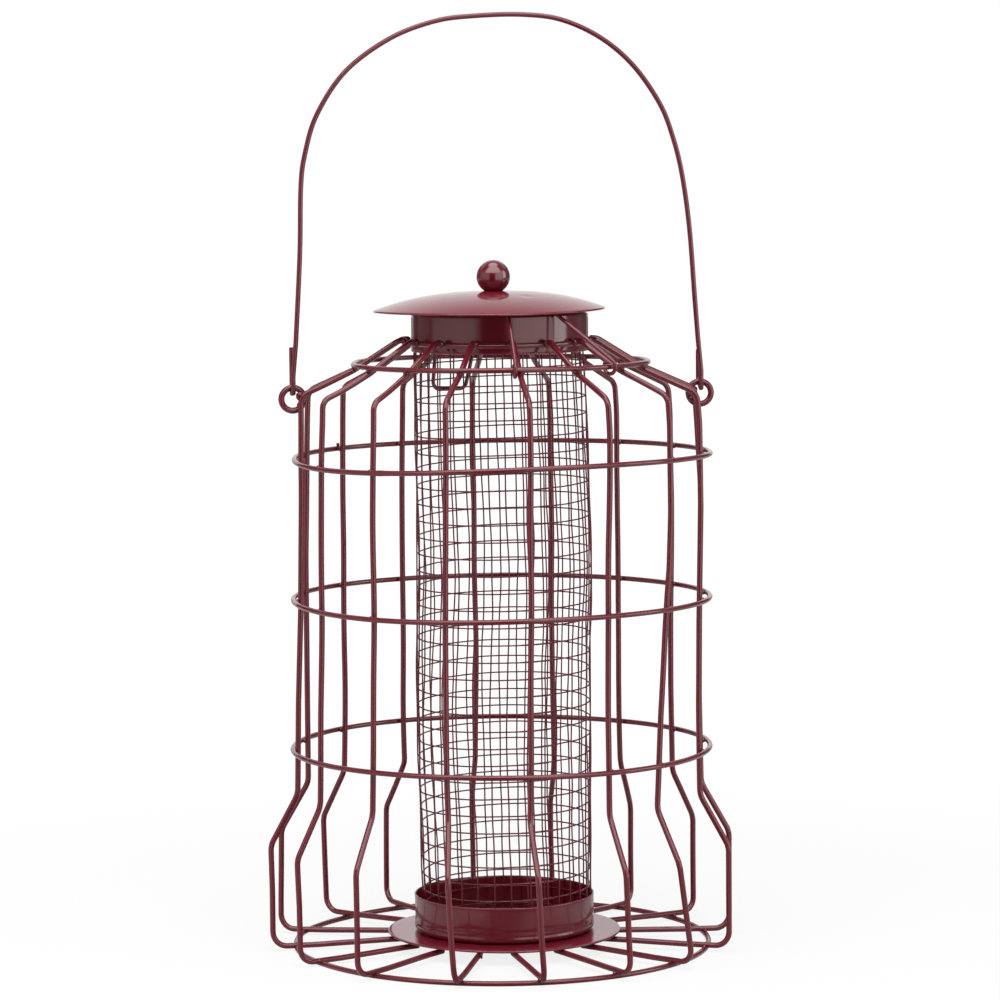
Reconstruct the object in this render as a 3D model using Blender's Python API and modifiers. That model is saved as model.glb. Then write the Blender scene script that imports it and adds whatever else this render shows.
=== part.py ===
"""Squirrel-proof bird feeder: a wire cage round a mesh seed tube.

Sixteen bent wires and six wire hoops make the cage. It stands on the foot hoop. A seed cup on a
round plate holds the bottom of the mesh tube, and a collar holds its top. A domed lid with a ball
knob swings on two wire eyes hooked round the top hoop, and a wire handle swings in two side eyes.

Units are metres, +Z is up, and the handle's two eyes lie along X.
"""
import math

import bmesh
import bpy
import numpy as np
from mathutils import Matrix, Vector

MM = 0.001
DEG = math.pi / 180.0
FULL_TURN = 2.0 * math.pi

OBJECT_NAME = "bird_feeder"

# Clearance between pieces that touch or are welded together
SEAT_GAP = 0.3 * MM
POLE_MERGE = 0.001 * MM

# Cage wires
UPRIGHT_WIRE = 2.2 * MM
HOOP_WIRE = 2.0 * MM
UPRIGHT_COUNT = 16
NECK_END_LENGTH = 2.0 * MM
NECK_END_RISE = 1.1 * MM
SLOPE_DROP = 20.1 * MM
SEAT_RADIUS = 55.7 * MM
SEAT_RISE = 9.1 * MM
SEAT_BEND = 6.0 * MM
SHOULDER_RADIUS = 76.0 * MM
SHOULDER_HEIGHT = 213.4 * MM
SHOULDER_BEND = 7.0 * MM
FLARE_RADIUS = 77.9 * MM
FLARE_HEIGHT = 60.5 * MM
FLARE_BEND = 9.0 * MM
BULGE_RADIUS = 88.9 * MM
BULGE_HEIGHT = 41.0 * MM
BULGE_BEND = 8.0 * MM
CORNER_BEND = 8.0 * MM
SPOKE_RISE = 0.5 * MM
SPOKE_OVERLAP = 6.8 * MM
NECK_BEND = 5.0 * MM

# How far hand-bent uprights lean sideways at the foot, the bulge, the flare, halfway up and the shoulder
LEAN_MIDDLE_SHARE = 0.585
UPRIGHT_LEANS = {
    1: (1.5 * MM, 1.8 * MM, 0.0 * MM, 0.0 * MM, 0.0 * MM),
    2: (2.4 * MM, 2.6 * MM, -0.4 * MM, 0.0 * MM, 0.0 * MM),
    3: (2.8 * MM, 3.1 * MM, -0.4 * MM, -1.6 * MM, -0.2 * MM),
    5: (2.4 * MM, 2.7 * MM, 0.9 * MM, 0.3 * MM, 0.2 * MM),
    6: (0.2 * MM, 1.9 * MM, 1.6 * MM, 1.2 * MM, 1.0 * MM),
    11: (4.6 * MM, 1.2 * MM, 0.0 * MM, -0.6 * MM, 0.0 * MM),
    12: (3.2 * MM, 1.4 * MM, -0.3 * MM, 0.8 * MM, 1.3 * MM),
    13: (1.9 * MM, 0.4 * MM, 0.0 * MM, 0.5 * MM, 0.8 * MM),
    14: (0.2 * MM, -8.0 * MM, -7.0 * MM, 1.6 * MM, 2.0 * MM),
}

# Hoops
FOOT_HOOP_INSET = 9.6 * MM
HOOP_SIDES = 6
HOOP_SEGMENTS = 2 * UPRIGHT_COUNT

# The body hoops' heights as shares of the way from the flare to the shoulder
LOWER_HOOP_SHARE = 0.108
MIDDLE_HOOP_SHARE = 0.4853
UPPER_HOOP_SHARE = 0.8437

# Collar round the top of the mesh tube
COLLAR_RADIUS = 33.6 * MM
COLLAR_WALL = 0.6 * MM
COLLAR_LIP = 3.3 * MM
COLLAR_HEIGHT = 14.2 * MM

# Mesh tube
MESH_WIRE = 0.9 * MM
MESH_COLLAR_GAP = 0.55 * MM
MESH_TOP_INSET = 2.0 * MM
MESH_COLUMNS = 18
MESH_ROWS = 18

# Base plate and seed cup
PLATE_RADIUS = 44.8 * MM
PLATE_SHEET = 0.9 * MM
CUP_MESH_GAP = 1.65 * MM
CUP_WALL = 0.6 * MM
CUP_HEIGHT = 13.8 * MM
CUP_BOTTOM_ROUND = 2.0 * MM
CUP_BEAD = 0.3 * MM
CUP_BEAD_HEIGHT = 4.5 * MM

# Handle eyes
EYE_WIRE = 2.4 * MM
EYE_RADIUS = 4.35 * MM
EYE_OUTSET = 2.6 * MM
EYE_DROP = 1.7 * MM

# Handle
HANDLE_WIRE = 1.9 * MM
HANDLE_RISE = 140.4 * MM
HOOK_GAP = 0.75 * MM
HOOK_DROP = 5.3 * MM
HOOK_BEND_SHARE = 0.98
LEFT_TAIL = 15.0 * MM
RIGHT_TAIL = 12.0 * MM

# The handle's arch as shares of its reach to the eyes and of its rise above them
ARCH_SHARES = (
    (-0.985, 0.12), (-0.960, 0.36), (-0.951, 0.54), (-0.929, 0.63), (-0.869, 0.735),
    (-0.729, 0.85), (-0.514, 0.937), (-0.295, 0.983), (-0.10, 0.997), (0.13, 1.0),
    (0.32, 0.986), (0.51, 0.938), (0.67, 0.863), (0.80, 0.76), (0.865, 0.668),
    (0.91, 0.565), (0.945, 0.42), (0.97, 0.23), (0.985, 0.12),
)

# Lid
LID_OVERHANG = 10.5 * MM
LID_SHEET = 0.8 * MM
LID_RISE = 7.3 * MM
LID_SIDE_SHIFT = -3.4 * MM
LID_COLLAR_GAP = 1.4 * MM
LID_BORE = 3.8 * MM
DOME_POWER = 2.4
DOME_STEPS = 6
KNOB_RADIUS = 6.4 * MM
KNOB_SIDE_SHIFT = 1.7 * MM
KNOB_SHANK = 1.8 * MM
KNOB_HEAD_RADIUS = 4.8 * MM
KNOB_HEAD_HEIGHT = 1.0 * MM
KNOB_HEAD_SHARE = 0.7

# Lid wire: one bent wire that makes the two hinge eyes, two arms and the spring catch
LID_WIRE = 1.5 * MM
LID_HINGE_TURN = 18.7 * DEG
LID_EYE_SPREAD = 20.35 * DEG
LID_EYE_BORE = 4.0 * MM
LID_EYE_WRAP = 250.0 * DEG
ARM_SPREAD = 9.7 * MM
ARM_SHIFT = -3.6 * MM
ARM_SLOPE = 49.0 * DEG
CATCH_MESH_GAP = 8.0 * MM
CATCH_DROP = 31.0 * MM
CATCH_LEFT_FOOT = -16.5 * MM
CATCH_RIGHT_FOOT = -2.6 * MM
CATCH_BEND = 3.0 * MM
ARM_FRONT_SHARE = 0.62
ARM_BACK_SHARE = 0.85

# Sizes that follow from the ones above
HOOP_FLAT = 0.5 * HOOP_WIRE * math.cos(math.pi / HOOP_SIDES)
FOOT_HOOP_HEIGHT = HOOP_FLAT
SPOKE_HEIGHT = FOOT_HOOP_HEIGHT + HOOP_FLAT + SEAT_GAP + 0.5 * UPRIGHT_WIRE
WIRE_STACK = 0.5 * UPRIGHT_WIRE + SEAT_GAP + 0.5 * HOOP_WIRE
FOOT_HOOP_RADIUS = BULGE_RADIUS - FOOT_HOOP_INSET
SPOKE_END_RADIUS = PLATE_RADIUS - SPOKE_OVERLAP
NECK_RING_RADIUS = COLLAR_RADIUS + SEAT_GAP + 0.5 * HOOP_WIRE
NECK_END_RADIUS = NECK_RING_RADIUS + 0.5 * HOOP_WIRE + SEAT_GAP
NECK_END_HEIGHT = SHOULDER_HEIGHT + SLOPE_DROP
NECK_RING_HEIGHT = NECK_END_HEIGHT - NECK_END_RISE
SLOPE_START_RADIUS = NECK_END_RADIUS + NECK_END_LENGTH
LEAN_HEIGHT = FLARE_HEIGHT + LEAN_MIDDLE_SHARE * (SHOULDER_HEIGHT - FLARE_HEIGHT)

# The top hoop lies in the bend between the uprights' upper and lower slopes
UPPER_SLOPE = math.atan2(SLOPE_DROP - SEAT_RISE, SEAT_RADIUS - SLOPE_START_RADIUS)
LOWER_SLOPE = math.atan2(SEAT_RISE, SHOULDER_RADIUS - SEAT_RADIUS)
SEAT_TILT = 0.5 * (UPPER_SLOPE + LOWER_SLOPE)
SEAT_STACK = WIRE_STACK / math.cos(0.5 * (UPPER_SLOPE - LOWER_SLOPE))
TOP_HOOP_RADIUS = SEAT_RADIUS + SEAT_STACK * math.sin(SEAT_TILT)
TOP_HOOP_HEIGHT = SHOULDER_HEIGHT + SEAT_RISE + SEAT_STACK * math.cos(SEAT_TILT)
COLLAR_BOTTOM = NECK_RING_HEIGHT - COLLAR_LIP
COLLAR_TOP = COLLAR_BOTTOM + COLLAR_HEIGHT
PLATE_BOTTOM = SPOKE_HEIGHT + SPOKE_RISE + 0.5 * UPRIGHT_WIRE + SEAT_GAP
PLATE_TOP = PLATE_BOTTOM + PLATE_SHEET
CUP_BOTTOM = PLATE_TOP + SEAT_GAP
MESH_RADIUS = COLLAR_RADIUS - COLLAR_WALL - MESH_COLLAR_GAP - 0.5 * MESH_WIRE
CUP_RADIUS = MESH_RADIUS + 0.5 * MESH_WIRE + CUP_MESH_GAP + CUP_WALL
MESH_BOTTOM = CUP_BOTTOM + CUP_WALL + SEAT_GAP + 0.5 * MESH_WIRE
MESH_TOP = COLLAR_TOP - MESH_TOP_INSET
EYE_SIDE_SHIFT = 0.5 * UPRIGHT_WIRE + SEAT_GAP + 0.5 * EYE_WIRE
EYE_REACH = SHOULDER_RADIUS + EYE_OUTSET
EYE_HEIGHT = SHOULDER_HEIGHT - EYE_DROP
HANDLE_AXIS_HEIGHT = EYE_HEIGHT + EYE_RADIUS
HOOK_HALF_WIDTH = 0.5 * EYE_WIRE + HOOK_GAP + 0.5 * HANDLE_WIRE
LID_RADIUS = COLLAR_RADIUS + LID_OVERHANG
LID_RIM_HEIGHT = COLLAR_TOP + LID_COLLAR_GAP
LID_EYE_COIL = 0.5 * (LID_EYE_BORE + LID_WIRE)
LID_AXIS_REACH = TOP_HOOP_RADIUS * math.cos(LID_EYE_SPREAD)
LID_EYE_SIDE = TOP_HOOP_RADIUS * math.sin(LID_EYE_SPREAD)
CATCH_INSET = MESH_RADIUS - CATCH_MESH_GAP
LID_OUTWARD = Vector((math.sin(LID_HINGE_TURN), -math.cos(LID_HINGE_TURN), 0.0))
LID_SIDEWAYS = Vector((math.cos(LID_HINGE_TURN), math.sin(LID_HINGE_TURN), 0.0))
UP = Vector((0.0, 0.0, 1.0))

RED_PAINT = (0.145, 0.010, 0.020, 1.0)


def clear_scene():
    """Remove every object and the data that it leaves behind."""
    for old in list(bpy.data.objects):
        bpy.data.objects.remove(old, do_unlink=True)


def red_paint(name, roughness):
    """Return a glossy dark red paint for one kind of piece."""
    material = bpy.data.materials.new(name)
    material.use_nodes = True
    shader = material.node_tree.nodes["Principled BSDF"]
    shader.inputs["Base Color"].default_value = RED_PAINT
    shader.inputs["Roughness"].default_value = roughness
    shader.inputs["Metallic"].default_value = 0.0
    return material


def add_object(name, data, material, parent):
    """Link a named object that holds the data, painted and parented."""
    piece = bpy.data.objects.new(name, data)
    if not data.materials:
        data.materials.append(material)
    bpy.data.collections[OBJECT_NAME].objects.link(piece)
    hang_on(piece, parent)
    return piece


def hang_on(piece, parent):
    """Parent a piece that is modelled in world places to an unturned empty."""
    piece.parent = parent
    piece.matrix_parent_inverse = Matrix.Translation(-parent.location)


def add_empty(name, location):
    """Add an empty that carries pieces, placed on their joint's axis."""
    empty = bpy.data.objects.new(name, None)
    empty.location = location
    empty.empty_display_size = KNOB_RADIUS
    bpy.data.collections[OBJECT_NAME].objects.link(empty)
    return empty


def filleted(corners, step=22.5 * DEG):
    """Return a path through corners of (point, bend radius), its bends rounded by arcs."""
    points = [corners[0][0].copy()]
    for (before, _), (corner, radius), (after, _) in zip(corners, corners[1:], corners[2:]):
        into = (corner - before).normalized()
        out = (after - corner).normalized()
        turn = into.angle(out)
        if radius <= 0.0 or turn < 1.0 * DEG:
            points.append(corner.copy())
            continue
        setback = radius * math.tan(0.5 * turn)
        start = corner - into * setback
        inward = (out - into * into.dot(out)).normalized()
        centre = start + inward * radius
        count = max(2, math.ceil(turn / step))
        for index in range(count + 1):
            angle = turn * index / count
            points.append(centre + (into * math.sin(angle) - inward * math.cos(angle)) * radius)
    points.append(corners[-1][0].copy())
    return points


def smoothed(controls, steps):
    """Return points on a Catmull-Rom curve through the controls."""
    points = []
    padded = [controls[0] * 2.0 - controls[1]] + list(controls) + [controls[-1] * 2.0 - controls[-2]]
    for p0, p1, p2, p3 in zip(padded, padded[1:], padded[2:], padded[3:]):
        for index in range(steps):
            t = index / steps
            cubic = p1 * 3.0 - p0 - p2 * 3.0 + p3
            square = p0 * 2.0 - p1 * 5.0 + p2 * 4.0 - p3
            points.append((p1 * 2.0 + (p2 - p0) * t + square * t * t + cubic * t ** 3) * 0.5)
    points.append(controls[-1].copy())
    return points


def wire_curve(name, points, diameter, bevel_resolution):
    """Return curve data of a round wire with filled ends along the points."""
    data = bpy.data.curves.new(name, "CURVE")
    data.dimensions = "3D"
    data.bevel_depth = 0.5 * diameter
    data.bevel_resolution = bevel_resolution
    data.use_fill_caps = True
    spline = data.splines.new("POLY")
    spline.points.add(len(points) - 1)
    for slot, point in zip(spline.points, points):
        slot.co = (point.x, point.y, point.z, 1.0)
    return data


def hoop(name, radius, wire, height, material, parent):
    """Add a closed ring of wire that lies level round the Z axis."""
    bpy.ops.mesh.primitive_torus_add(
        major_segments=HOOP_SEGMENTS,
        minor_segments=HOOP_SIDES,
        major_radius=radius,
        minor_radius=0.5 * wire,
        location=(0.0, 0.0, 0.0),
    )
    return adopt_primitive(name, Vector((0.0, 0.0, height)), material, parent)


def adopt_primitive(name, location, material, parent):
    """Name, paint, smooth and parent the primitive that was just added."""
    piece = bpy.context.object
    piece.name = name
    piece.data.name = name
    for collection in list(piece.users_collection):
        collection.objects.unlink(piece)
    bpy.data.collections[OBJECT_NAME].objects.link(piece)
    piece.data.materials.append(material)
    piece.data.shade_smooth()
    piece.location = location
    hang_on(piece, parent)
    return piece


def turned(name, profile, steps, material, parent):
    """Add a shape turned round Z from a profile of (radius, height) pairs, top to bottom."""
    mesh = bpy.data.meshes.new(name)
    bm = bmesh.new()
    rim = [bm.verts.new((radius, 0.0, height)) for radius, height in profile]
    for upper, lower in zip(rim, rim[1:]):
        bm.edges.new((upper, lower))
    bm.to_mesh(mesh)
    bm.free()
    piece = add_object(name, mesh, material, parent)
    screw = piece.modifiers.new("turn", "SCREW")
    screw.axis = "Z"
    screw.angle = FULL_TURN
    screw.steps = steps
    screw.render_steps = steps
    screw.use_merge_vertices = True
    screw.merge_threshold = POLE_MERGE
    screw.use_smooth_shade = True
    return piece


def sheet(piece, thickness):
    """Give a turned surface the thickness of sheet metal, inward from its outer side."""
    solidify = piece.modifiers.new("sheet", "SOLIDIFY")
    solidify.thickness = thickness
    solidify.offset = -1.0
    solidify.use_even_offset = True


def arc_profile(centre, radius, start, end, count):
    """Return (radius, height) pairs on an arc about a (radius, height) centre."""
    pairs = []
    for index in range(count + 1):
        angle = start + (end - start) * index / count
        pairs.append((centre[0] + radius * math.cos(angle), centre[1] + radius * math.sin(angle)))
    return pairs


def upright_radius(height):
    """Return how far the uprights' centre lies from the axis at a height on the body."""
    share = (height - FLARE_HEIGHT) / (SHOULDER_HEIGHT - FLARE_HEIGHT)
    return FLARE_RADIUS + (SHOULDER_RADIUS - FLARE_RADIUS) * share


def upright_path():
    """Return one upright's centre line in the XZ plane, from the neck to under the plate."""
    corners = [
        (Vector((NECK_END_RADIUS, 0.0, NECK_END_HEIGHT)), 0.0),
        (Vector((SLOPE_START_RADIUS, 0.0, NECK_END_HEIGHT)), NECK_BEND),
        (Vector((SEAT_RADIUS, 0.0, SHOULDER_HEIGHT + SEAT_RISE)), SEAT_BEND),
        (Vector((SHOULDER_RADIUS, 0.0, SHOULDER_HEIGHT)), SHOULDER_BEND),
        (Vector((upright_radius(LEAN_HEIGHT), 0.0, LEAN_HEIGHT)), 0.0),
        (Vector((FLARE_RADIUS, 0.0, FLARE_HEIGHT)), FLARE_BEND),
        (Vector((BULGE_RADIUS, 0.0, BULGE_HEIGHT)), BULGE_BEND),
        (Vector((BULGE_RADIUS, 0.0, SPOKE_HEIGHT)), CORNER_BEND),
        (Vector((FOOT_HOOP_RADIUS - CORNER_BEND, 0.0, SPOKE_HEIGHT)), 0.0),
        (Vector((PLATE_RADIUS, 0.0, SPOKE_HEIGHT + SPOKE_RISE)), 0.0),
        (Vector((SPOKE_END_RADIUS, 0.0, SPOKE_HEIGHT + SPOKE_RISE)), 0.0),
    ]
    return filleted(corners)


def leaned(path, leans):
    """Return an upright's path bent sideways, its slope and its spoke still pointing inward."""
    heights = (SPOKE_HEIGHT, BULGE_HEIGHT, FLARE_HEIGHT, LEAN_HEIGHT, SHOULDER_HEIGHT)
    points = []
    for point in path:
        lean = np.interp(point.z, heights, leans) * point.x / BULGE_RADIUS
        points.append(Vector((point.x, lean, point.z)))
    return points


def build_cage(parent):
    """Add the sixteen uprights and the six hoops."""
    upright_paint = red_paint("upright_paint", 0.32)
    hoop_paint = red_paint("hoop_paint", 0.30)
    path = upright_path()
    straight = wire_curve("upright", path, UPRIGHT_WIRE, 1)
    for index in range(UPRIGHT_COUNT):
        name = f"upright_{index:02d}"
        data = straight
        if index in UPRIGHT_LEANS:
            data = wire_curve(name, leaned(path, UPRIGHT_LEANS[index]), UPRIGHT_WIRE, 1)
        piece = add_object(name, data, upright_paint, parent)
        piece.rotation_euler.z = FULL_TURN * index / UPRIGHT_COUNT
    hoop("foot_hoop", FOOT_HOOP_RADIUS, HOOP_WIRE, FOOT_HOOP_HEIGHT, hoop_paint, parent)
    shares = {"lower": LOWER_HOOP_SHARE, "middle": MIDDLE_HOOP_SHARE, "upper": UPPER_HOOP_SHARE}
    for level, share in shares.items():
        height = FLARE_HEIGHT + share * (SHOULDER_HEIGHT - FLARE_HEIGHT)
        radius = upright_radius(height) + WIRE_STACK
        hoop(f"body_hoop_{level}", radius, HOOP_WIRE, height, hoop_paint, parent)
    hoop("top_hoop", TOP_HOOP_RADIUS, HOOP_WIRE, TOP_HOOP_HEIGHT, hoop_paint, parent)
    hoop("neck_ring", NECK_RING_RADIUS, HOOP_WIRE, NECK_RING_HEIGHT, hoop_paint, parent)


def build_neck(parent):
    """Add the sheet collar that the neck ring holds."""
    paint = red_paint("collar_paint", 0.25)
    profile = [(COLLAR_RADIUS, COLLAR_TOP), (COLLAR_RADIUS, COLLAR_BOTTOM)]
    collar = turned("collar", profile, 2 * UPRIGHT_COUNT, paint, parent)
    sheet(collar, COLLAR_WALL)


def build_mesh_tube(parent):
    """Add the welded mesh tube as one lattice: a grid of wires round a cylinder."""
    paint = red_paint("mesh_paint", 0.40)
    pitch = (MESH_TOP - MESH_BOTTOM) / MESH_ROWS
    profile = [(MESH_RADIUS, MESH_TOP - pitch * row) for row in range(MESH_ROWS + 1)]
    tube = turned("mesh_tube", profile, MESH_COLUMNS, paint, parent)
    lattice = tube.modifiers.new("wires", "WIREFRAME")
    lattice.thickness = MESH_WIRE
    lattice.offset = 0.0
    lattice.use_boundary = True
    lattice.use_replace = True
    lattice.use_even_offset = True


def build_base(parent):
    """Add the round base plate on the spokes and the seed cup on the plate."""
    plate_paint = red_paint("plate_paint", 0.22)
    cup_paint = red_paint("cup_paint", 0.28)
    edge = 0.5 * PLATE_SHEET
    profile = [(0.0, PLATE_TOP)]
    profile += arc_profile((PLATE_RADIUS - edge, PLATE_BOTTOM + edge), edge, 90.0 * DEG, -90.0 * DEG, 4)
    profile.append((0.0, PLATE_BOTTOM))
    turned("base_plate", profile, 2 * UPRIGHT_COUNT, plate_paint, parent)

    bead = CUP_BOTTOM + CUP_BEAD_HEIGHT
    profile = [
        (CUP_RADIUS, CUP_BOTTOM + CUP_HEIGHT),
        (CUP_RADIUS, bead + 2.0 * CUP_BEAD),
        (CUP_RADIUS - CUP_BEAD, bead),
        (CUP_RADIUS, bead - 2.0 * CUP_BEAD),
    ]
    corner = (CUP_RADIUS - CUP_BOTTOM_ROUND, CUP_BOTTOM + CUP_BOTTOM_ROUND)
    profile += arc_profile(corner, CUP_BOTTOM_ROUND, 0.0, -90.0 * DEG, 3)
    profile.append((0.0, CUP_BOTTOM))
    cup = turned("seed_cup", profile, 2 * UPRIGHT_COUNT, cup_paint, parent)
    sheet(cup, CUP_WALL)


def build_eyes(parent):
    """Add the two side eyes, welded to the uprights on the X axis, that the handle hangs in."""
    paint = red_paint("eye_paint", 0.30)
    for name, side in (("eye_left", -1.0), ("eye_right", 1.0)):
        bpy.ops.mesh.primitive_torus_add(
            major_segments=UPRIGHT_COUNT,
            minor_segments=HOOP_SIDES,
            major_radius=EYE_RADIUS,
            minor_radius=0.5 * EYE_WIRE,
            location=(0.0, 0.0, 0.0),
        )
        place = Vector((side * EYE_REACH, EYE_SIDE_SHIFT, EYE_HEIGHT))
        eye = adopt_primitive(name, place, paint, parent)
        eye.rotation_euler.x = 90.0 * DEG


def hook_corners(side, tail):
    """Return the hook at one end of the handle, from its tail's tip to the foot of its leg."""
    back = EYE_SIDE_SHIFT + HOOK_HALF_WIDTH
    front = EYE_SIDE_SHIFT - HOOK_HALF_WIDTH
    bottom = HANDLE_AXIS_HEIGHT - HOOK_DROP
    reach = side * EYE_REACH
    return [
        (Vector((reach, back, HANDLE_AXIS_HEIGHT + tail)), 0.0),
        (Vector((reach, back, bottom)), HOOK_BEND_SHARE * HOOK_HALF_WIDTH),
        (Vector((reach, front, bottom)), HOOK_BEND_SHARE * HOOK_HALF_WIDTH),
        (Vector((reach, front, HANDLE_AXIS_HEIGHT + EYE_RADIUS)), 0.0),
    ]


def build_handle(parent):
    """Add the wire handle: an arch whose ends hook round the tops of the two eyes."""
    paint = red_paint("handle_paint", 0.28)
    front = EYE_SIDE_SHIFT - HOOK_HALF_WIDTH
    arch = [
        Vector((across * EYE_REACH, front, HANDLE_AXIS_HEIGHT + up * HANDLE_RISE))
        for across, up in ARCH_SHARES
    ]
    left = filleted(hook_corners(-1.0, LEFT_TAIL), 30.0 * DEG)
    right = filleted(hook_corners(1.0, RIGHT_TAIL), 30.0 * DEG)
    path = left + smoothed(arch, 2) + right[::-1]
    data = wire_curve("handle", path, HANDLE_WIRE, 2)
    add_object("handle", data, paint, parent)


def dome_height(radius):
    """Return the height of the dome's outer face at a distance from its own centre."""
    return LID_RIM_HEIGHT + LID_RISE * (1.0 - (radius / LID_RADIUS) ** DOME_POWER)


def dome_data():
    """Return the dome's outer face: rings whose centres move over from the rim's to the knob's."""
    rings = []
    bm = bmesh.new()
    for index in range(DOME_STEPS + 1):
        share = index / DOME_STEPS
        radius = LID_BORE + (LID_RADIUS - LID_BORE) * share
        middle = KNOB_SIDE_SHIFT * (1.0 - share)
        ring = []
        for step in range(HOOP_SEGMENTS):
            angle = FULL_TURN * step / HOOP_SEGMENTS
            across = middle + radius * math.cos(angle)
            ring.append(bm.verts.new((across, radius * math.sin(angle), dome_height(radius))))
        rings.append(ring)
    for inner, outer in zip(rings, rings[1:]):
        for near, far, next_near, next_far in zip(inner, outer, inner[1:] + inner[:1], outer[1:] + outer[:1]):
            bm.faces.new((near, far, next_far, next_near))
    mesh = bpy.data.meshes.new("lid_dome")
    bm.to_mesh(mesh)
    bm.free()
    mesh.shade_smooth()
    return mesh


def build_lid(parent):
    """Add the domed lid and the ball knob, which sits in the lid's bore and is riveted under it."""
    lid_paint = red_paint("lid_paint", 0.22)
    knob_paint = red_paint("knob_paint", 0.25)
    dome = add_object("lid_dome", dome_data(), lid_paint, parent)
    dome.location.x = LID_SIDE_SHIFT
    sheet(dome, LID_SHEET)

    under = dome_height(KNOB_HEAD_RADIUS) - LID_SHEET - SEAT_GAP
    sunk_radius = LID_BORE - SEAT_GAP
    ball_height = dome_height(LID_BORE) + math.sqrt(KNOB_RADIUS ** 2 - sunk_radius ** 2)
    shank_angle = -math.acos(KNOB_SHANK / KNOB_RADIUS)
    profile = arc_profile((0.0, ball_height), KNOB_RADIUS, 90.0 * DEG, shank_angle, 10)
    profile[0] = (0.0, profile[0][1])
    profile += [
        (KNOB_SHANK, under),
        (KNOB_HEAD_RADIUS, under),
        (KNOB_HEAD_SHARE * KNOB_HEAD_RADIUS, under - KNOB_HEAD_HEIGHT),
        (0.0, under - KNOB_HEAD_HEIGHT),
    ]
    knob = turned("lid_knob", profile, UPRIGHT_COUNT, knob_paint, parent)
    knob.location.x = LID_SIDE_SHIFT + KNOB_SIDE_SHIFT


def lid_place(outward, sideways, height):
    """Return the world point for a place given from the axis toward the lid's hinge."""
    return LID_OUTWARD * outward + LID_SIDEWAYS * sideways + UP * height


def under_dome(outward, sideways):
    """Return the lid wire's point that lies against the underside of the dome."""
    point = lid_place(outward, sideways, 0.0)
    radius = math.hypot(point.x - LID_SIDE_SHIFT, point.y)
    point.z = dome_height(radius) - LID_SHEET - SEAT_GAP - 0.5 * LID_WIRE
    return point


def lid_wire_half(side):
    """Return half of the lid wire: hinge eye, arm under the dome, then the catch's leg."""
    points = []
    start = 90.0 * DEG - ARM_SLOPE
    count = 10
    for index in range(count + 1):
        angle = start - LID_EYE_WRAP * (1.0 - index / count)
        away = LID_EYE_COIL * math.cos(angle)
        outward = LID_AXIS_REACH + away * math.cos(LID_EYE_SPREAD)
        sideways = LID_EYE_SIDE + away * math.sin(LID_EYE_SPREAD)
        height = TOP_HOOP_HEIGHT + LID_EYE_COIL * math.sin(angle)
        points.append(lid_place(outward, side * sideways, height))
    track = side * ARM_SPREAD + ARM_SHIFT
    foot = CATCH_LEFT_FOOT if side < 0.0 else CATCH_RIGHT_FOOT
    middle = 0.5 * (CATCH_LEFT_FOOT + CATCH_RIGHT_FOOT)
    neck = COLLAR_RADIUS + LID_WIRE + SEAT_GAP
    crossing = COLLAR_TOP + SEAT_GAP + 0.5 * LID_WIRE
    catch_bottom = LID_RIM_HEIGHT - CATCH_DROP
    arm = [
        (points[-1], 0.0),
        (lid_place(neck, track, crossing), LID_EYE_COIL),
        (under_dome(ARM_FRONT_SHARE * CATCH_INSET, track), CATCH_BEND),
        (under_dome(0.0, track), 0.0),
        (under_dome(-ARM_BACK_SHARE * CATCH_INSET, track), 0.0),
        (under_dome(-CATCH_INSET, track), CATCH_BEND),
        (lid_place(-CATCH_INSET, foot, catch_bottom), CATCH_BEND),
        (lid_place(-CATCH_INSET, middle, catch_bottom), 0.0),
    ]
    return points[:-1] + filleted(arm)


def build_lid_wire(parent):
    """Add the bent wire under the lid: two hinge eyes, two arms and the spring catch."""
    paint = red_paint("lid_wire_paint", 0.30)
    half = lid_wire_half(-1.0)
    other = lid_wire_half(1.0)
    data = wire_curve("lid_wire", half + other[::-1][1:], LID_WIRE, 1)
    add_object("lid_wire", data, paint, parent)


def main():
    """Build the whole feeder."""
    clear_scene()
    collection = bpy.data.collections.new(OBJECT_NAME)
    bpy.context.scene.collection.children.link(collection)
    feeder = add_empty("feeder_frame", Vector((0.0, 0.0, 0.0)))
    lid = add_empty("lid_hinge", lid_place(LID_AXIS_REACH, 0.0, TOP_HOOP_HEIGHT))
    handle = add_empty("handle_swing", Vector((0.0, EYE_SIDE_SHIFT, HANDLE_AXIS_HEIGHT)))
    build_cage(feeder)
    build_neck(feeder)
    build_mesh_tube(feeder)
    build_base(feeder)
    build_eyes(feeder)
    build_handle(handle)
    build_lid(lid)
    build_lid_wire(lid)


main()
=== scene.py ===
"""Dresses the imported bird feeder: smooth bent wires, welded mesh, spun sheet metal and red paint.

Every piece stands for one CAD node and lies in the same frame, in metres, with +Z up and the lid's
hinge toward -Y. Each sub-assembly is a class that holds its sizes and builds its own pieces. The
finishes are classes too, and share four shader node groups.
"""
from __future__ import annotations

import logging
import math
from dataclasses import dataclass, field
from enum import Enum

import bpy
import numpy as np
from mathutils import Matrix, Vector

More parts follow.
